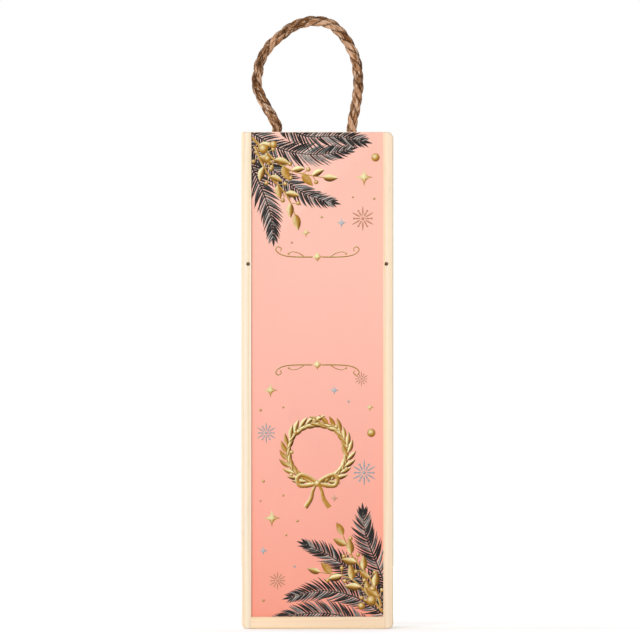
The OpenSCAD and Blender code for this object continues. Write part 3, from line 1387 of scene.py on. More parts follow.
@dataclass
class Case:
    """The nailed case: two moulded side boards, bottom, top, back panel and neck rest."""

    grain: NodeTree
    brads: Fasteners
    face_play: float = 0.25 * MM
    side_play: float = 0.3 * MM
    corner_radius: float = 4.4 * MM
    top_left_radius: float = 1.6 * MM
    corner_steps: int = 10
    outer_round: float = 1.4 * MM
    inner_round: float = 0.35 * MM
    bottom_round: float = 0.7 * MM
    bottom_end_round: float = 0.3 * MM
    top_round: float = 0.5 * MM
    back_round: float = 0.4 * MM
    slot_radius: float = 17.0 * MM
    slot_steps: int = 28
    slot_round: float = 0.8 * MM
    pin_radius: float = 1.3 * MM
    pin_chamfer: float = 0.35 * MM
    pin_depth: float = 12.0 * MM
    pin_inset: float = 2.2 * MM
    pin_drop: float = 93.0 * MM
    rope_hole_radius: float = 4.0 * MM
    rope_hole_sides: int = 40
    countersink: float = 1.0 * MM

    def __post_init__(self) -> None:
        """Take the case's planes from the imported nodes."""
        self.outer_low, self.outer_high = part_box("left_side")
        self.outer_high.x = -self.outer_low.x
        self.inner_x = -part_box("left_side")[1].x
        lid_low, lid_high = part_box("lid")
        self.groove_front = lid_low.y - self.face_play
        self.groove_back = lid_high.y + self.face_play
        self.groove_x = lid_high.x + self.side_play
        self.panel_low, self.panel_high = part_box("back_panel")

    def pin_hole(self, side: Side) -> BMesh:
        """Shape the countersunk pin hole in one rail, which also notches the lid.

        Args:
            side: Which rail.

        Returns:
            The closed shape to cut.
        """
        x = side.value * (self.inner_x + self.pin_inset)
        mouth = Vector((x, self.outer_low.y, self.outer_high.z - self.pin_drop))
        bore, sink = self.pin_radius, self.pin_chamfer
        profile = [(-sink, bore + 2 * sink), (sink, bore), (self.pin_depth, bore)]
        form = bmesh.new()
        turned(form, mouth, Vector((0.0, 1.0, 0.0)), profile)
        return form

    def side_section(self) -> list[tuple[float, float]]:
        """Give the right side board's cross section.

        Returns:
            The x and y of its corners, in order.
        """
        inner, outer = self.inner_x, self.outer_high.x
        front, back = self.outer_low.y, self.outer_high.y
        return [
            (inner, front),
            (outer, front),
            (outer, back),
            (self.panel_high.x, back),
            (self.panel_high.x, self.panel_low.y),
            (inner, self.panel_low.y),
            (inner, self.groove_back),
            (self.groove_x, self.groove_back),
            (self.groove_x, self.groove_front),
            (inner, self.groove_front),
        ]

    def corner_wastes(self, side: Side) -> BMesh:
        """Shape what sanding takes off a side board's corners, before the left board is mirrored.

        Args:
            side: Which side board.

        Returns:
            The closed shapes to cut.
        """
        form = bmesh.new()
        outer, front = self.outer_high.x, self.outer_low.y - OVERCUT
        way = Vector((0.0, self.outer_high.y + OVERCUT - front, 0.0))
        top_radius = self.top_left_radius if side is Side.LEFT else self.corner_radius
        for end, up, radius in ((0.0, -1.0, self.corner_radius), (self.outer_high.z, 1.0, top_radius)):
            past, above = outer + OVERCUT, end + up * OVERCUT
            outline = [(past, end - up * radius), (past, above), (outer - radius, above)]
            for step in range(self.corner_steps + 1):
                angle = math.pi / 2 * step / self.corner_steps
                x = outer - radius * (1 - math.sin(angle))
                outline.append((x, end - up * radius * (1 - math.cos(angle))))
            prism(form, [Vector((x, front, z)) for x, z in outline], way)
        return form

    def build_side(self, side: Side) -> Object:
        """Build one side board.

        Args:
            side: Which side of the box.

        Returns:
            The board's object.
        """
        form = bmesh.new()
        prism(form, [Vector((x, y, 0.0)) for x, y in self.side_section()], UP * self.outer_high.z)
        board = place_object(f"{side.name.lower()}_side_board", form, [])
        cut_away(board, [self.corner_wastes(side)])
        form = bmesh.new()
        form.from_mesh(board.data)
        bmesh.ops.remove_doubles(form, verts=form.verts, dist=WELD)
        for plane, seam in ((self.outer_low.y, self.inner_x), (self.outer_high.y, self.panel_high.x)):
            round_edges(form, self.outer_round, self.rim_test(plane, seam), 4)
        round_edges(form, self.inner_round, self.lip_test(), 3)
        if side is Side.LEFT:
            bmesh.ops.scale(form, vec=(-1.0, 1.0, 1.0), verts=form.verts)
            bmesh.ops.recalc_face_normals(form, faces=form.faces)
        form.to_mesh(board.data)
        form.free()
        board.data.materials.append(self.side_finish(side).build(self.grain))
        recesses = self.brads.side_recesses(side, side.value * self.outer_high.x)
        cut_away(board, [self.pin_hole(side), recesses])
        self.finish_board(board, f"{side.name.lower()}_side")
        return board

    def side_finish(self, side: Side) -> Pine:
        """Choose the finish of one side board.

        Args:
            side: Which side board.

        Returns:
            The finish.
        """
        left = side is Side.LEFT
        face = side.value * self.outer_high.x
        knot = Knot((face, 0.014, 0.232), 4.6 * MM) if left else Knot((face, -0.012, 0.088), 3.4 * MM)
        return Pine(
            f"pine_{side.name.lower()}_side",
            Along.Z,
            (0.115, -0.010) if left else (-0.104, 0.012),
            tilt=(0.5, 0.4 * side.value),
            early="#FDF0DB" if left else "#FEE9CF",
            late="#EFC592",
            late_share=0.45,
            knot=knot,
        )

    def rim_test(self, plane: float, seam: float) -> EdgeTest:
        """Pick a face's outline, less its edge against another board.

        Args:
            plane: The face's y.
            seam: That edge's x.

        Returns:
            The test for the outline's edges.
        """

        def test(a: Vector, b: Vector) -> bool:
            """Say whether the edge from a to b is part of it."""
            flat = abs(a.y - plane) < NEAR and abs(b.y - plane) < NEAR
            return flat and max(a.x, b.x) > seam + NEAR

        return test

    def lip_test(self) -> EdgeTest:
        """Pick the two upright edges of the lip that holds the lid.

        Returns:
            The test for them.
        """
        edge_y = self.groove_front + NEAR

        def test(a: Vector, b: Vector) -> bool:
            """Say whether the edge from a to b is one of them."""
            upright = abs(a.z - b.z) > 0.5 * self.outer_high.z
            return upright and all(abs(p.x - self.inner_x) < NEAR and p.y < edge_y for p in (a, b))

        return test

    def finish_board(self, board: Object, node: str) -> None:
        """Shade a board and let it stand for its node.

        Args:
            board: The board's object.
            node: The node.
        """
        shade_by_angle(board)
        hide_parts(node)
        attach(board, "case")

    def build_bottom(self) -> Object:
        """Build the bottom board, with the groove for the lid's foot.

        Returns:
            The board's object.
        """
        low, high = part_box("bottom_board")
        lid_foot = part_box("lid")[0].z
        form = bmesh.new()
        section = [
            (low.y, low.z),
            (high.y, low.z),
            (high.y, high.z),
            (self.groove_back, high.z),
            (self.groove_back, lid_foot),
            (self.groove_front, lid_foot),
            (self.groove_front, high.z),
            (low.y, high.z),
        ]
        prism(form, [Vector((low.x, y, z)) for y, z in section], Vector((high.x - low.x, 0.0, 0.0)))

        def long_edge(y: float, z: float) -> EdgeTest:
            """Pick the edge that runs along X at y and z."""
            return lambda a, b: all(abs(p.y - y) < NEAR and abs(p.z - z) < NEAR for p in (a, b))

        def front_end(a: Vector, b: Vector) -> bool:
            """Pick the outline of the board's front at its two ends."""
            return all(abs(p.y - low.y) < NEAR and abs(abs(p.x) - high.x) < NEAR for p in (a, b))

        round_edges(form, self.bottom_round, long_edge(low.y, high.z), 4)
        round_edges(form, self.outer_round, long_edge(low.y, low.z), 4)
        round_edges(form, self.inner_round, long_edge(self.groove_front, high.z))
        round_edges(form, self.bottom_end_round, front_end)
        finish = Pine(
            "pine_bottom",
            Along.X,
            (0.034, 0.022),
            tilt=(0.6, 0.5),
            early="#FFE8CA",
            late="#FCD3A4",
        )
        board = place_object("bottom_plank", form, [finish.build(self.grain)])
        self.finish_board(board, "bottom_board")
        return board

    def build_top(self, rope: RopeHandle) -> Object:
        """Build the top board with its two countersunk rope holes.

        Args:
            rope: The rope that goes through them.

        Returns:
            The board's object.
        """
        low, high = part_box("top_board")
        form = block(low, high)
        round_edges(form, self.top_round, lambda a, b: max(a.y, b.y) < low.y + NEAR)
        finish = Pine("pine_top", Along.X, (-0.300, 0.030), tilt=(-1.0, 2.0))
        board = place_object("top_plank", form, [finish.build(self.grain)])
        bore, sink = self.rope_hole_radius, self.countersink
        wide = bore + 2 * sink
        profile = [(low.z - sink, wide), (low.z + sink, bore), (high.z - sink, bore), (high.z + sink, wide)]
        holes = bmesh.new()
        for x in (rope.route[0][0] * MM, rope.route[-1][0] * MM):
            turned(holes, Vector((x, rope.y, 0.0)), UP, profile, self.rope_hole_sides)
        cut_away(board, [holes])
        self.finish_board(board, "top_board")
        return board

    def build_back(self) -> Object:
        """Build the back panel.

        Returns:
            The panel's object.
        """
        form = block(self.panel_low, self.panel_high)
        back = self.panel_high.y
        round_edges(form, self.back_round, lambda a, b: min(a.y, b.y) > back - NEAR)
        finish = Pine(
            "pine_back",
            Along.Z,
            (0.012, -0.120),
            tilt=(1.4, 1.0),
            early="#FAE2C1",
            late="#E2B37C",
            late_share=0.6,
            knot=Knot((0.021, back, 0.246), 6.0 * MM),
        )
        panel = place_object("back_board", form, [finish.build(self.grain)])
        cut_away(panel, [self.brads.back_recesses(back)])
        self.finish_board(panel, "back_panel")
        return panel

    def build_neck_rest(self) -> Object:
        """Build the neck rest with its rounded slot.

        Returns:
            The board's object.
        """
        low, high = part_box("neck_rest")
        radius = self.slot_radius
        axis_y = (self.groove_back + self.panel_low.y) / 2
        outline = [(-radius, low.y), (low.x, low.y), (low.x, high.y), (high.x, high.y)]
        outline += [(high.x, low.y), (radius, low.y)]
        for step in range(self.slot_steps + 1):
            angle = math.pi * step / self.slot_steps
            outline.append((radius * math.cos(angle), axis_y + radius * math.sin(angle)))
        form = bmesh.new()
        prism(form, [Vector((x, y, low.z)) for x, y in outline], UP * (high.z - low.z))

        def slot_rim(a: Vector, b: Vector) -> bool:
            """Pick the level edges along the slot and the board's front."""
            level = abs(a.z - b.z) < NEAR
            inside = all(abs(p.x) < radius + NEAR and p.y < axis_y + radius + NEAR for p in (a, b))
            return level and (inside or max(a.y, b.y) < low.y + NEAR)

        round_edges(form, self.slot_round, slot_rim)
        finish = Pine("pine_neck_rest", Along.X, (-0.205, 0.020), tilt=(2.0, -3.0), late_share=0.6)
        board = place_object("neck_support", form, [finish.build(self.grain)])
        self.finish_board(board, "neck_rest")
        return board

    def build(self, rope: RopeHandle) -> list[Object]:
        """Build the whole case.

        Args:
            rope: The rope that goes through the top board.

        Returns:
            Its boards.
        """
        sides = [self.build_side(side) for side in Side]
        return [*sides, self.build_bottom(), self.build_top(rope), self.build_back(), self.build_neck_rest()]


# ---------------------------------------------------------------- lid and its print


@dataclass
class Lid:
    """The sliding lid: a thin pine board with a printed front."""

    case: Case
    grain: NodeTree
    edge_round: float = 0.3 * MM

    def build(self) -> Object:
        """Build the lid.

        Returns:
            The lid's object.
        """
        low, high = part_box("lid")
        form = block(low, high)
        round_edges(form, self.edge_round, lambda a, b: max(a.y, b.y) < low.y + NEAR)
        for face in form.faces:
            face.material_index = 1 if face.normal.y < -0.999 else 0
        knot = Knot((-0.018, high.y, 0.150), 4.0 * MM)
        raw = Pine("pine_lid", Along.Z, (-0.010, 0.120), tilt=(1.5, -1.0), knot=knot)
        materials = [raw.build(self.grain), PrintedGround(raw).build(self.grain, low.z, high.z)]
        lid = place_object("lid_board", form, materials)
        cut_away(lid, [self.case.pin_hole(side) for side in Side])
        shade_by_angle(lid)
        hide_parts("lid")
        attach(lid, "lid")
        return lid


# ---------------------------------------------------------------- print


@dataclass
class Drawing:
    """Low shapes of one ink, drawn in millimetres: X to the right, Y up the lid.

    The shapes lie in layers a few hundredths high, so that one that crosses another covers it,
    and each is a little higher along its middle than at its edges.
    """

    ink: Ink
    lowest: float = 0.02
    thickness: float = 0.2
    relief: float = 0.38
    form: BMesh = field(default_factory=bmesh.new)
    layer: int = 0
    drawn: dict[int, int] = field(default_factory=dict)
    heights: int = 4
    height_step: float = 0.004
    crown: float = 0.05
    light: Vector = field(default_factory=lambda: Vector((-0.6, 0.8)))
    leaflet_step: float = 2.1
    leaflet_width: float = 1.42
    root_cut: float = 0.13
    rays: int = 12

    def start_layer(self, number: int) -> None:
        """Go to a layer of the drawing, which covers the lower ones."""
        self.layer = number

    def next_height(self) -> float:
        """Give the next shape a height a little off its neighbours', so that none lie in one plane.

        Returns:
            The height.
        """
        count = self.drawn.get(self.layer, 0)
        self.drawn[self.layer] = count + 1
        return self.lowest + self.height_step * (self.layer * self.heights + count % self.heights)

    def patch(self, along: int, across: int, shape: Callable[[float, float], tuple[Vector, float]]) -> None:
        """Add a patch.

        Args:
            along: Faces along it.
            across: Faces across it.
            shape: Gives a point and its tone from the share along it, 0 to 1, and across it, -1 to 1.
        """
        height = self.next_height()
        part = bmesh.new()
        tones = part.verts.layers.float.new("tone")
        grid = bmesh.ops.create_grid(part, x_segments=along, y_segments=across, size=1.0)
        for vertex in grid["verts"]:
            side = vertex.co.y
            spot, tone = shape((vertex.co.x + 1) / 2, side)
            vertex.co = (spot.x, spot.y, height + self.crown * (1 - side**2))
            vertex[tones] = tone
        absorb(self.form, part)

    def ribbon(
        self,
        line: Sequence[Vector],
        width: Callable[[float], float],
        tone: float = 0.5,
        across: int = 2,
        steps: int = 3,
    ) -> None:
        """Add a ribbon along a line, lit as if it were round.

        Args:
            line: Points that it follows.
            width: Its width from the share along it.
            tone: Its middle tone.
            across: Faces across it.
            steps: Faces on each stretch of the line.
        """
        path = smooth_line([point.to_3d() for point in line], steps)
        last = len(path) - 1

        def shape(share: float, side: float) -> tuple[Vector, float]:
            """Shape the ribbon.

            Args:
                share: The share along it.
                side: The place across it.

            Returns:
                The point and its tone.
            """
            number = round(share * last)
            way = (path[min(number + 1, last)] - path[max(number - 1, 0)]).to_2d().normalized()
            over = Vector((-way.y, way.x))
            lit = tone + self.relief * side * over.dot(self.light)
            return path[number].to_2d() + over * side * width(share) / 2, lit

        self.patch(last, across, shape)

    def leaf(
        self,
        root: Vector,
        angle: float,
        length: float,
        width: float,
        bend: float = 0.0,
        tone: float = 0.5,
        faces: tuple[int, int] = (5, 2),
        base: float = 0.0,
    ) -> None:
        """Add a leaf, folded along its middle.

        Args:
            root: Its root.
            angle: Its direction in radians.
            length: Its length.
            width: Its width.
            bend: How far it turns along its length, in radians.
            tone: Its middle tone.
            faces: Faces along it and across it.
            base: How much of its pointed root is left off, as a share of its length.
        """

        def shape(share: float, side: float) -> tuple[Vector, float]:
            """Shape the leaf.

            Args:
                share: The share along it.
                side: The place across it.

            Returns:
                The point and its tone.
            """
            turn = angle + bend * share / 2
            way = Vector((math.cos(turn), math.sin(turn)))
            over = Vector((-math.sin(angle + bend * share), math.cos(angle + bend * share)))
            wide = width / 2 * max(math.sin(math.pi * (base + (1 - base) * share) ** 0.8), 0.06) ** 0.85
            fold = math.copysign(1.0, side) if side else 0.0
            lit = tone + self.relief * fold * over.dot(self.light) + 0.12 * (1 - abs(side)) - 0.1 * share
            return root + way * length * share + over * side * wide, lit

        self.patch(*faces, shape)

    def ball(self, centre: Vector, radius: float, tone: float = 0.45) -> None:
        """Add a round berry with a highlight.

        Args:
            centre: Its middle.
            radius: Its radius.
            tone: Its middle tone.
        """

        def shape(share: float, side: float) -> tuple[Vector, float]:
            """Shape the berry, from a square drawn out to a disc.

            Args:
                share: The share along the square.
                side: The place across it.

            Returns:
                The point and its tone.
            """
            u, v = 2 * share - 1, side
            spot = Vector((u * math.sqrt(1 - v * v / 2), v * math.sqrt(1 - u * u / 2)))
            shine = 0.85 - (spot - self.light * 0.38).length
            return centre + spot * radius, tone + 0.62 * shine

        self.patch(6, 6, shape)

    def sparkle(self, centre: Vector, radius: float, slim: float = 0.55) -> None:
        """Add a four-pointed sparkle with hollow sides.

        Args:
            centre: Its middle.
            radius: How far its points reach.
            slim: How full its sides are: 1 is a square on its corner, and less is hollow.
        """
        height = self.next_height()
        part = bmesh.new()
        tones = part.verts.layers.float.new("tone")
        ring = bmesh.ops.create_circle(part, cap_ends=True, cap_tris=True, segments=32, radius=1.0)
        for vertex in ring["verts"]:
            u, v = abs(vertex.co.x), abs(vertex.co.y)
            middle = u + v < 0.5
            reach = 0.0 if middle else (u**slim + v**slim) ** (-1 / slim)
            facing = vertex.co.to_2d().dot(self.light)
            vertex[tones] = 0.95 if middle else 0.6 + 0.25 * facing
            spot = centre + vertex.co.to_2d() * reach * radius
            vertex.co = (spot.x, spot.y, height + (self.crown if middle else 0.0))
        absorb(self.form, part)

    def burst(self, centre: Vector, radius: float) -> None:
        """Add a burst of fine rays, each second one short and tipped with a dot.

        Args:
            centre: Its middle.
            radius: How far its long rays reach.
        """
        for number in range(self.rays):
            angle = 2 * math.pi * number / self.rays + math.pi / 2
            way = Vector((math.cos(angle), math.sin(angle)))
            reach = radius if number % 2 == 0 else radius * 0.62
            self.leaf(centre + way * radius * 0.16, angle, reach * 0.84, radius * 0.13, faces=(3, 2))
            if number % 2:
                self.ball(centre + way * (reach + radius * 0.07), radius * 0.085)
        self.ball(centre, radius * 0.12)

    def frond(self, line: Sequence[Vector], leaflet: float, draw: random.Random) -> None:
        """Add a fern frond along a line.

        Args:
            line: Points of its stem, from the root.
            leaflet: Length of its longest leaflets.
            draw: Source of its small differences.
        """
        stem = even_steps(smooth_line([point.to_3d() for point in line]), self.leaflet_step)
        last = len(stem) - 1
        for number in range(1, last):
            share = number / last
            way = (stem[number + 1] - stem[number - 1]).to_2d()
            heading = math.atan2(way.y, way.x)
            length = leaflet * math.sin(math.pi * (0.18 + 0.74 * share)) ** 0.75
            for hand in (-1, 1):
                lean = math.radians(56 - 16 * share + draw.uniform(-4, 4))
                self.leaf(
                    stem[number].to_2d(),
                    heading + hand * lean,
                    length * draw.uniform(0.88, 1.06),
                    self.leaflet_width,
                    bend=-hand * draw.uniform(0.2, 0.45),
                    tone=draw.uniform(0.0, 0.7),
                    base=self.root_cut,
                )
        self.leaf(stem[last - 1].to_2d(), heading, leaflet * 0.5, 1.9, tone=0.3, base=self.root_cut)
        self.start_layer(self.layer + 1)
        self.ribbon(line, lambda share: 1.3 - 0.8 * share, tone=0.45)

    def twig(self, line: Sequence[Vector], leaf: float, draw: random.Random) -> None:
        """Add a twig of oval leaves and berries along a line.

        Args:
            line: Points of its stem, from the root.
            leaf: Length of its leaves.
            draw: Source of its small differences.
        """
        self.ribbon(line, lambda share: 1.9 - 1.2 * share, tone=0.55)
        self.start_layer(self.layer + 1)
        stem = even_steps(smooth_line([point.to_3d() for point in line]), leaf * 0.72)
        last = len(stem) - 1
        for number in range(1, last + 1):
            way = (stem[number] - stem[number - 1]).to_2d()
            heading = math.atan2(way.y, way.x)
            hand = 1 if number % 2 else -1
            lean = 0.0 if number == last else hand * math.radians(draw.uniform(34, 50))
            size = leaf * draw.uniform(0.85, 1.1)
            root = stem[number].to_2d()
            self.leaf(root, heading + lean, size, size * 0.5, bend=-hand * 0.25, faces=(8, 4))
            if number < last:
                side = heading - hand * math.radians(draw.uniform(50, 75))
                tip = root + Vector((math.cos(side), math.sin(side))) * leaf * 0.5
                self.ribbon([root, tip], lambda share: 0.55)
                self.ball(tip, leaf * 0.14)

    def build(self, window: tuple[Vector, Vector], face_y: float) -> Object:
        """Trim the drawing to the lid's window, close it and lay it on the lid.

        Args:
            window: The window's lowest and highest corner, in X and Z.
            face_y: The lid's front.

        Returns:
            The drawing's object.
        """
        low, high = window
        for limit, sign, axis in ((low.x, -1, 0), (high.x, 1, 0), (low.z, -1, 1), (high.z, 1, 1)):
            normal, spot = Vector(), Vector()
            normal[axis] = sign
            spot[axis] = limit / MM
            everything = [*self.form.verts, *self.form.edges, *self.form.faces]
            bmesh.ops.bisect_plane(
                self.form, geom=everything, dist=1e-5, plane_co=spot, plane_no=normal, clear_outer=True
            )
        grown = bmesh.ops.extrude_face_region(self.form, geom=list(self.form.faces))["geom"]
        under = [item for item in grown if isinstance(item, BMVert)]
        bmesh.ops.translate(self.form, vec=UP * -self.thickness, verts=under)
        bmesh.ops.recalc_face_normals(self.form, faces=self.form.faces)
        spot = Matrix.Translation((0.0, face_y, 0.0)) @ Matrix.Rotation(math.radians(90), 4, "X")
        bmesh.ops.transform(self.form, matrix=spot @ Matrix.Scale(MM, 4), verts=self.form.verts)
        name = "lid_print_" + self.ink.name.lower()
        piece = place_object(name, self.form, [InkFinish(self.ink).build()])
        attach(piece, "lid")
        return piece


@dataclass
class LidPrint:
    """The lid's ornament: dark fronds in two corners, gold twigs, a leaf wreath and sparkles."""

    case: Case
    margin: float = 0.05 * MM
    top_margin: float = 0.4 * MM
    seed: int = 11
    leaflet: float = 14.0
    twig_leaf: float = 10.5
    wreath_centre: Vector = field(default_factory=lambda: Vector((0.0, 124.0)))
    wreath_radius: float = 21.5
    wreath_leaves: int = 26
    hoop_steps: int = 40
    hoop_gap: float = 0.03

    def __post_init__(self) -> None:
        """Start a drawing for each ink."""
        self.draw = random.Random(self.seed)
        self.inks = {ink: Drawing(ink) for ink in Ink}
        self.inks[Ink.GREY].relief = 0.45
        self.inks[Ink.GOLD].relief = 0.55
        self.inks[Ink.GOLD].lowest = 0.16

    def add_corners(self) -> None:
        """Draw the fronds and twigs of the upper left and the lower right corner."""
        grey, gold = self.inks[Ink.GREY], self.inks[Ink.GOLD]
        upper = (
            ((-50, 352), (-26, 338), (0, 334), (24, 338)),
            ((-52, 346), (-30, 322), (-8, 306), (12, 300)),
            ((-50, 334), (-40, 312), (-33, 292), (-31, 274)),
            ((-30, 356), (-8, 347), (14, 347), (34, 343)),
        )
        lower = (
            ((50, 8), (28, 22), (4, 27), (-20, 22)),
            ((52, 14), (30, 36), (8, 52), (-10, 60)),
            ((50, 26), (41, 48), (34, 66), (32, 84)),
            ((38, 2), (14, 10), (-8, 11), (-28, 7)),
        )
        for corner in (upper, lower):
            for number, line in enumerate(corner):
                grey.start_layer(2 * number)
                grey.frond([Vector(point) for point in line], self.leaflet, self.draw)
        twigs = (
            ((-46, 346), (-30, 330), (-16, 322), (4, 318)),
            ((-44, 340), (-36, 322), (-22, 306), (-16, 292)),
            ((46, 12), (34, 26), (22, 36), (2, 40)),
            ((45, 16), (38, 34), (24, 52), (18, 66)),
        )
        for number, line in enumerate(twigs):
            gold.start_layer(2 * (number % 2))
            gold.twig([Vector(point) for point in line], self.twig_leaf, self.draw)
        gold.start_layer(4)
        for x, y, radius in (
            (-38, 338, 3.4), (-31, 341, 2.6), (-35, 331, 2.3),
            (38, 20, 3.4), (31, 16, 2.6), (39, 28, 2.3),
        ):
            gold.ball(Vector((x, y)), radius)

    def on_wreath(self, angle: float, reach: float) -> Vector:
        """Find the place at an angle and a distance from the wreath's middle."""
        return self.wreath_centre + Vector((math.cos(angle), math.sin(angle))) * reach

    def add_wreath(self) -> None:
        """Draw the wreath of gold leaves with its berries and bow."""
        gold = self.inks[Ink.GOLD]
        foot = -math.pi / 2
        hoop = []
        for step in range(self.hoop_steps + 1):
            turn = self.hoop_gap + 2 * (math.pi - self.hoop_gap) * step / self.hoop_steps
            hoop.append(self.on_wreath(turn + foot, self.wreath_radius))
        gold.start_layer(0)
        gold.ribbon(hoop, lambda share: 1.3, tone=0.35, steps=2)
        for number in range(self.wreath_leaves):
            for hand in (-1, 1):
                gold.start_layer(1 if hand < 0 else 2)
                share = (number + (0.5 if hand > 0 else 0.0)) / self.wreath_leaves
                way_up = 1 if share < 0.5 else -1
                angle = 2 * math.pi * share + foot
                lean = hand * math.radians(self.draw.uniform(26, 38))
                heading = angle + way_up * (math.pi / 2 - lean)
                size = self.draw.uniform(8.4, 10.4)
                tone = self.draw.uniform(0.42, 0.62)
                root = self.on_wreath(angle, self.wreath_radius)
                gold.leaf(root, heading, size, size * 0.36, way_up * hand * 0.3, tone, (8, 4))
            gold.start_layer(3)
            if number % 3 == 1:
                reach = self.wreath_radius + self.draw.uniform(-3.5, 3.5)
                angle = 2 * math.pi * (number + 0.4) / self.wreath_leaves + foot
                gold.ball(self.on_wreath(angle, reach), 1.35, 0.55)
        self.add_bow(self.wreath_centre - Vector((0.0, self.wreath_radius)))

    def add_bow(self, knot: Vector) -> None:
        """Draw a bow.

        Args:
            knot: Its middle.
        """
        gold = self.inks[Ink.GOLD]
        tail = ((0.4, 0), (3, -5), (4.5, -11), (8.5, -17))
        loop = ((0.4, 0.2), (5, 3.6), (11, 6), (14.2, 3.2), (12.6, -1.4), (7, -1.6), (0.4, -0.2))
        for hand in (-1, 1):
            gold.start_layer(4)
            line = [knot + Vector((hand * x, y)) for x, y in tail]
            gold.ribbon(line, lambda share: 1.6 + 1.8 * share, 0.5, 4, 5)
            gold.start_layer(5)
            line = [knot + Vector((hand * x, y)) for x, y in loop]
            gold.ribbon(line, lambda share: 2.9, 0.55, 4, 5)
        gold.start_layer(6)
        gold.ball(knot, 2.3, 0.55)

    def add_dividers(self) -> None:
        """Draw the two fine rules that frame the bare middle of the lid."""
        gold = self.inks[Ink.GOLD]
        gold.start_layer(0)
        rule = (
            (3.4, 0), (14, 0), (22, 0.6), (27, 2.4),
            (29.4, 5.2), (27.6, 7.2), (25.4, 5.8), (26.2, 4.0),
        )
        branch = ((9, 0), (13, 2.6), (17.5, 3.6), (19.6, 2.6))
        for y, up in ((262.0, 1), (186.0, -1)):
            for hand in (-1, 1):
                line = [Vector((hand * x, y + rise * up)) for x, rise in rule]
                gold.ribbon(line, lambda share: 0.95 - 0.35 * share, 0.45)
                line = [Vector((hand * x, y + rise * up)) for x, rise in branch]
                gold.ribbon(line, lambda share: 0.7 - 0.3 * share, 0.45)
                gold.ball(Vector((hand * 20.2, y + 2.3 * up)), 0.75)
            gold.sparkle(Vector((0.0, y)), 3.4, 0.8)

    def add_sparkles(self) -> None:
        """Strew sparkles, bursts and dots over the open ground."""
        for ink, x, y, radius in (
            (Ink.GOLD, 33, 318, 6.2), (Ink.SILVER, 17, 286, 3.6), (Ink.GOLD, -8, 279, 3.4),
            (Ink.GOLD, -33, 168, 5.2), (Ink.SILVER, 12, 168, 3.4), (Ink.GOLD, 37, 156, 3.0),
            (Ink.GOLD, -32, 78, 6.2), (Ink.SILVER, -38, 55, 3.2), (Ink.COPPER, 12, 92, 3.0),
        ):
            self.inks[ink].sparkle(Vector((x, y)), radius)
        for ink, x, y, radius in (
            (Ink.COPPER, 32, 289, 9.0), (Ink.SILVER, -36, 138, 7.6), (Ink.SILVER, 33, 110, 9.4),
            (Ink.COPPER, -28, 34, 6.6), (Ink.COPPER, 31, 176, 5.4),
        ):
            self.inks[ink].burst(Vector((x, y)), radius)
        for ink, x, y, radius in (
            (Ink.GOLD, 40, 303, 0.9), (Ink.GOLD, 25, 304, 0.7), (Ink.GOLD, 3, 290, 0.8),
            (Ink.COPPER, -18, 272, 0.8), (Ink.GOLD, 41, 332, 2.9), (Ink.GOLD, -40, 154, 0.9),
            (Ink.GOLD, -24, 156, 0.7), (Ink.SILVER, 22, 160, 0.8), (Ink.GOLD, 38, 138, 2.9),
            (Ink.GOLD, -38, 104, 1.0), (Ink.GOLD, -24, 94, 0.8), (Ink.COPPER, -40, 90, 0.7),
            (Ink.GOLD, -22, 66, 0.8), (Ink.GOLD, -14, 76, 0.9), (Ink.SILVER, -16, 44, 0.8),
            (Ink.GOLD, -38, 20, 0.9),
        ):
            self.inks[ink].ball(Vector((x, y)), radius)

    def build(self) -> list[Object]:
        """Draw and lay the whole ornament.

        Returns:
            One piece for each ink.
        """
        self.add_corners()
        self.add_wreath()
        self.add_dividers()
        self.add_sparkles()
        lid_low, lid_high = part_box("lid")
        inset = self.case.inner_x - self.margin
        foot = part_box("bottom_board")[1].z + self.margin
        window = (Vector((-inset, 0.0, foot)), Vector((inset, 0.0, lid_high.z - self.top_margin)))
        return [drawing.build(window, lid_low.y) for drawing in self.inks.values()]


# ---------------------------------------------------------------- stage


@dataclass(frozen=True)
class Lamp:
    """A square area light: its place, the length of its side and its power in watts."""

    name: str
    place: tuple[float, float, float]
    size: float
    power: float


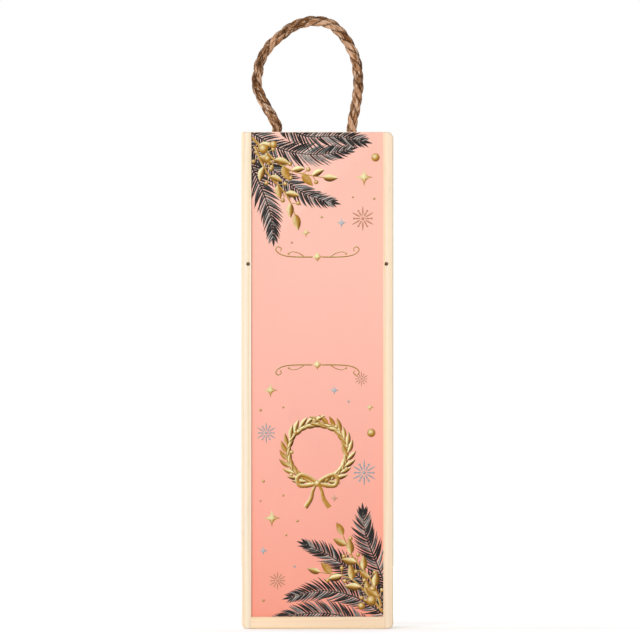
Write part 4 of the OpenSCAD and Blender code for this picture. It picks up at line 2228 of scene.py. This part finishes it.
@dataclass
class Studio:
    """Camera, soft lights, floor and white world."""

    lamps: tuple[Lamp, ...] = (
        Lamp("key", (-1.5, -6.8, 3.0), 1.2, 206.0),
        Lamp("front", (-0.8, -7.1, 0.1), 2.4, 160.0),
        Lamp("left", (-2.6, 0.0, 1.0), 1.2, 24.0),
        Lamp("right", (2.0, 2.3, 1.0), 1.2, 20.0),
        Lamp("rear", (-0.4, 2.7, 2.0), 2.4, 22.0),
        Lamp("top", (0.0, 0.5, 2.6), 1.0, 10.0),
    )
    frame_width: float = 450.6 * MM
    distance: float = 12.0
    aim: Vector = field(default_factory=lambda: Vector((1.87 * MM, 0.0, 217.5 * MM)))
    face_y: float = -50.0 * MM
    sensor: float = 36.0
    view_end: float = 40.0
    ambient: float = 0.22
    floor_reach: float = 3.0

    def add_camera(self) -> None:
        """Add the camera, square to the lid."""
        data = bpy.data.cameras.new("camera")
        data.sensor_width = self.sensor
        data.lens = self.sensor * (self.distance + self.face_y) / self.frame_width
        data.clip_end = self.view_end
        camera = bpy.data.objects.new("camera", data)
        camera.location = self.aim + Vector((0.0, -self.distance, 0.0))
        camera.rotation_euler = (math.radians(90), 0.0, 0.0)
        bpy.context.scene.collection.objects.link(camera)
        bpy.context.scene.camera = camera

    def add_light(self, lamp: Lamp) -> None:
        """Add a light that faces the box.

        Args:
            lamp: Its place, size and power.
        """
        data = bpy.data.lights.new(lamp.name, "AREA")
        data.shape = "SQUARE"
        data.size = lamp.size
        data.energy = lamp.power
        light = bpy.data.objects.new(lamp.name, data)
        light.location = lamp.place
        way = self.aim - Vector(lamp.place)
        light.rotation_euler = way.to_track_quat("-Z", "Y").to_euler()
        bpy.context.scene.collection.objects.link(light)

    def add_world(self) -> None:
        """Add the soft grey world, which the camera sees as white."""
        world = bpy.data.worlds.new("studio")
        bpy.context.scene.world = world
        world.use_nodes = True
        world.node_tree.nodes.clear()
        graph = Graph(world.node_tree)
        rays = graph.add("LightPath")
        seen = graph.calc("MAXIMUM", rays.outputs["Is Camera Ray"], rays.outputs["Is Glossy Ray"])
        seen = graph.calc("MAXIMUM", seen, rays.outputs["Is Transmission Ray"])
        strength = graph.add("MapRange", {0: seen, 3: self.ambient, 4: 1.0}).outputs[0]
        background = graph.add("Background", {"Color": WHITE, "Strength": strength})
        output = graph.add("OutputWorld")
        graph.tree.links.new(background.outputs[0], output.inputs[0])

    def add_floor(self) -> None:
        """Add the floor that the box stands on."""
        form = bmesh.new()
        bmesh.ops.create_grid(form, x_segments=2, y_segments=2, size=self.floor_reach)
        floor = place_object("studio_floor", form, [StudioWhite().build()])

    def build(self) -> None:
        """Add everything but the camera."""
        for lamp in self.lamps:
            self.add_light(lamp)
        self.add_world()
        self.add_floor()


def main() -> None:
    """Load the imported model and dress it."""
    logging.basicConfig(level=logging.INFO, format="%(message)s")
    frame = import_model()
    nodes = frame["nodes"]
    bpy.context.scene.view_settings.view_transform = "Standard"
    studio = Studio()
    studio.add_camera()
    rope = RopeHandle(Jute().build())
    pieces = rope.build()
    grain = PineGrain().build()
    brads = Fasteners(nodes)
    case = Case(grain, brads)
    pieces += case.build(rope)
    pieces += brads.dress(BradSteel().build())
    pieces.append(Lid(case, grain).build())
    pieces += LidPrint(case).build()
    studio.build()
    for piece in pieces:
        LOG.info("%s: %d faces", piece.name, len(piece.data.polygons))


if __name__ == "__main__":
    main()
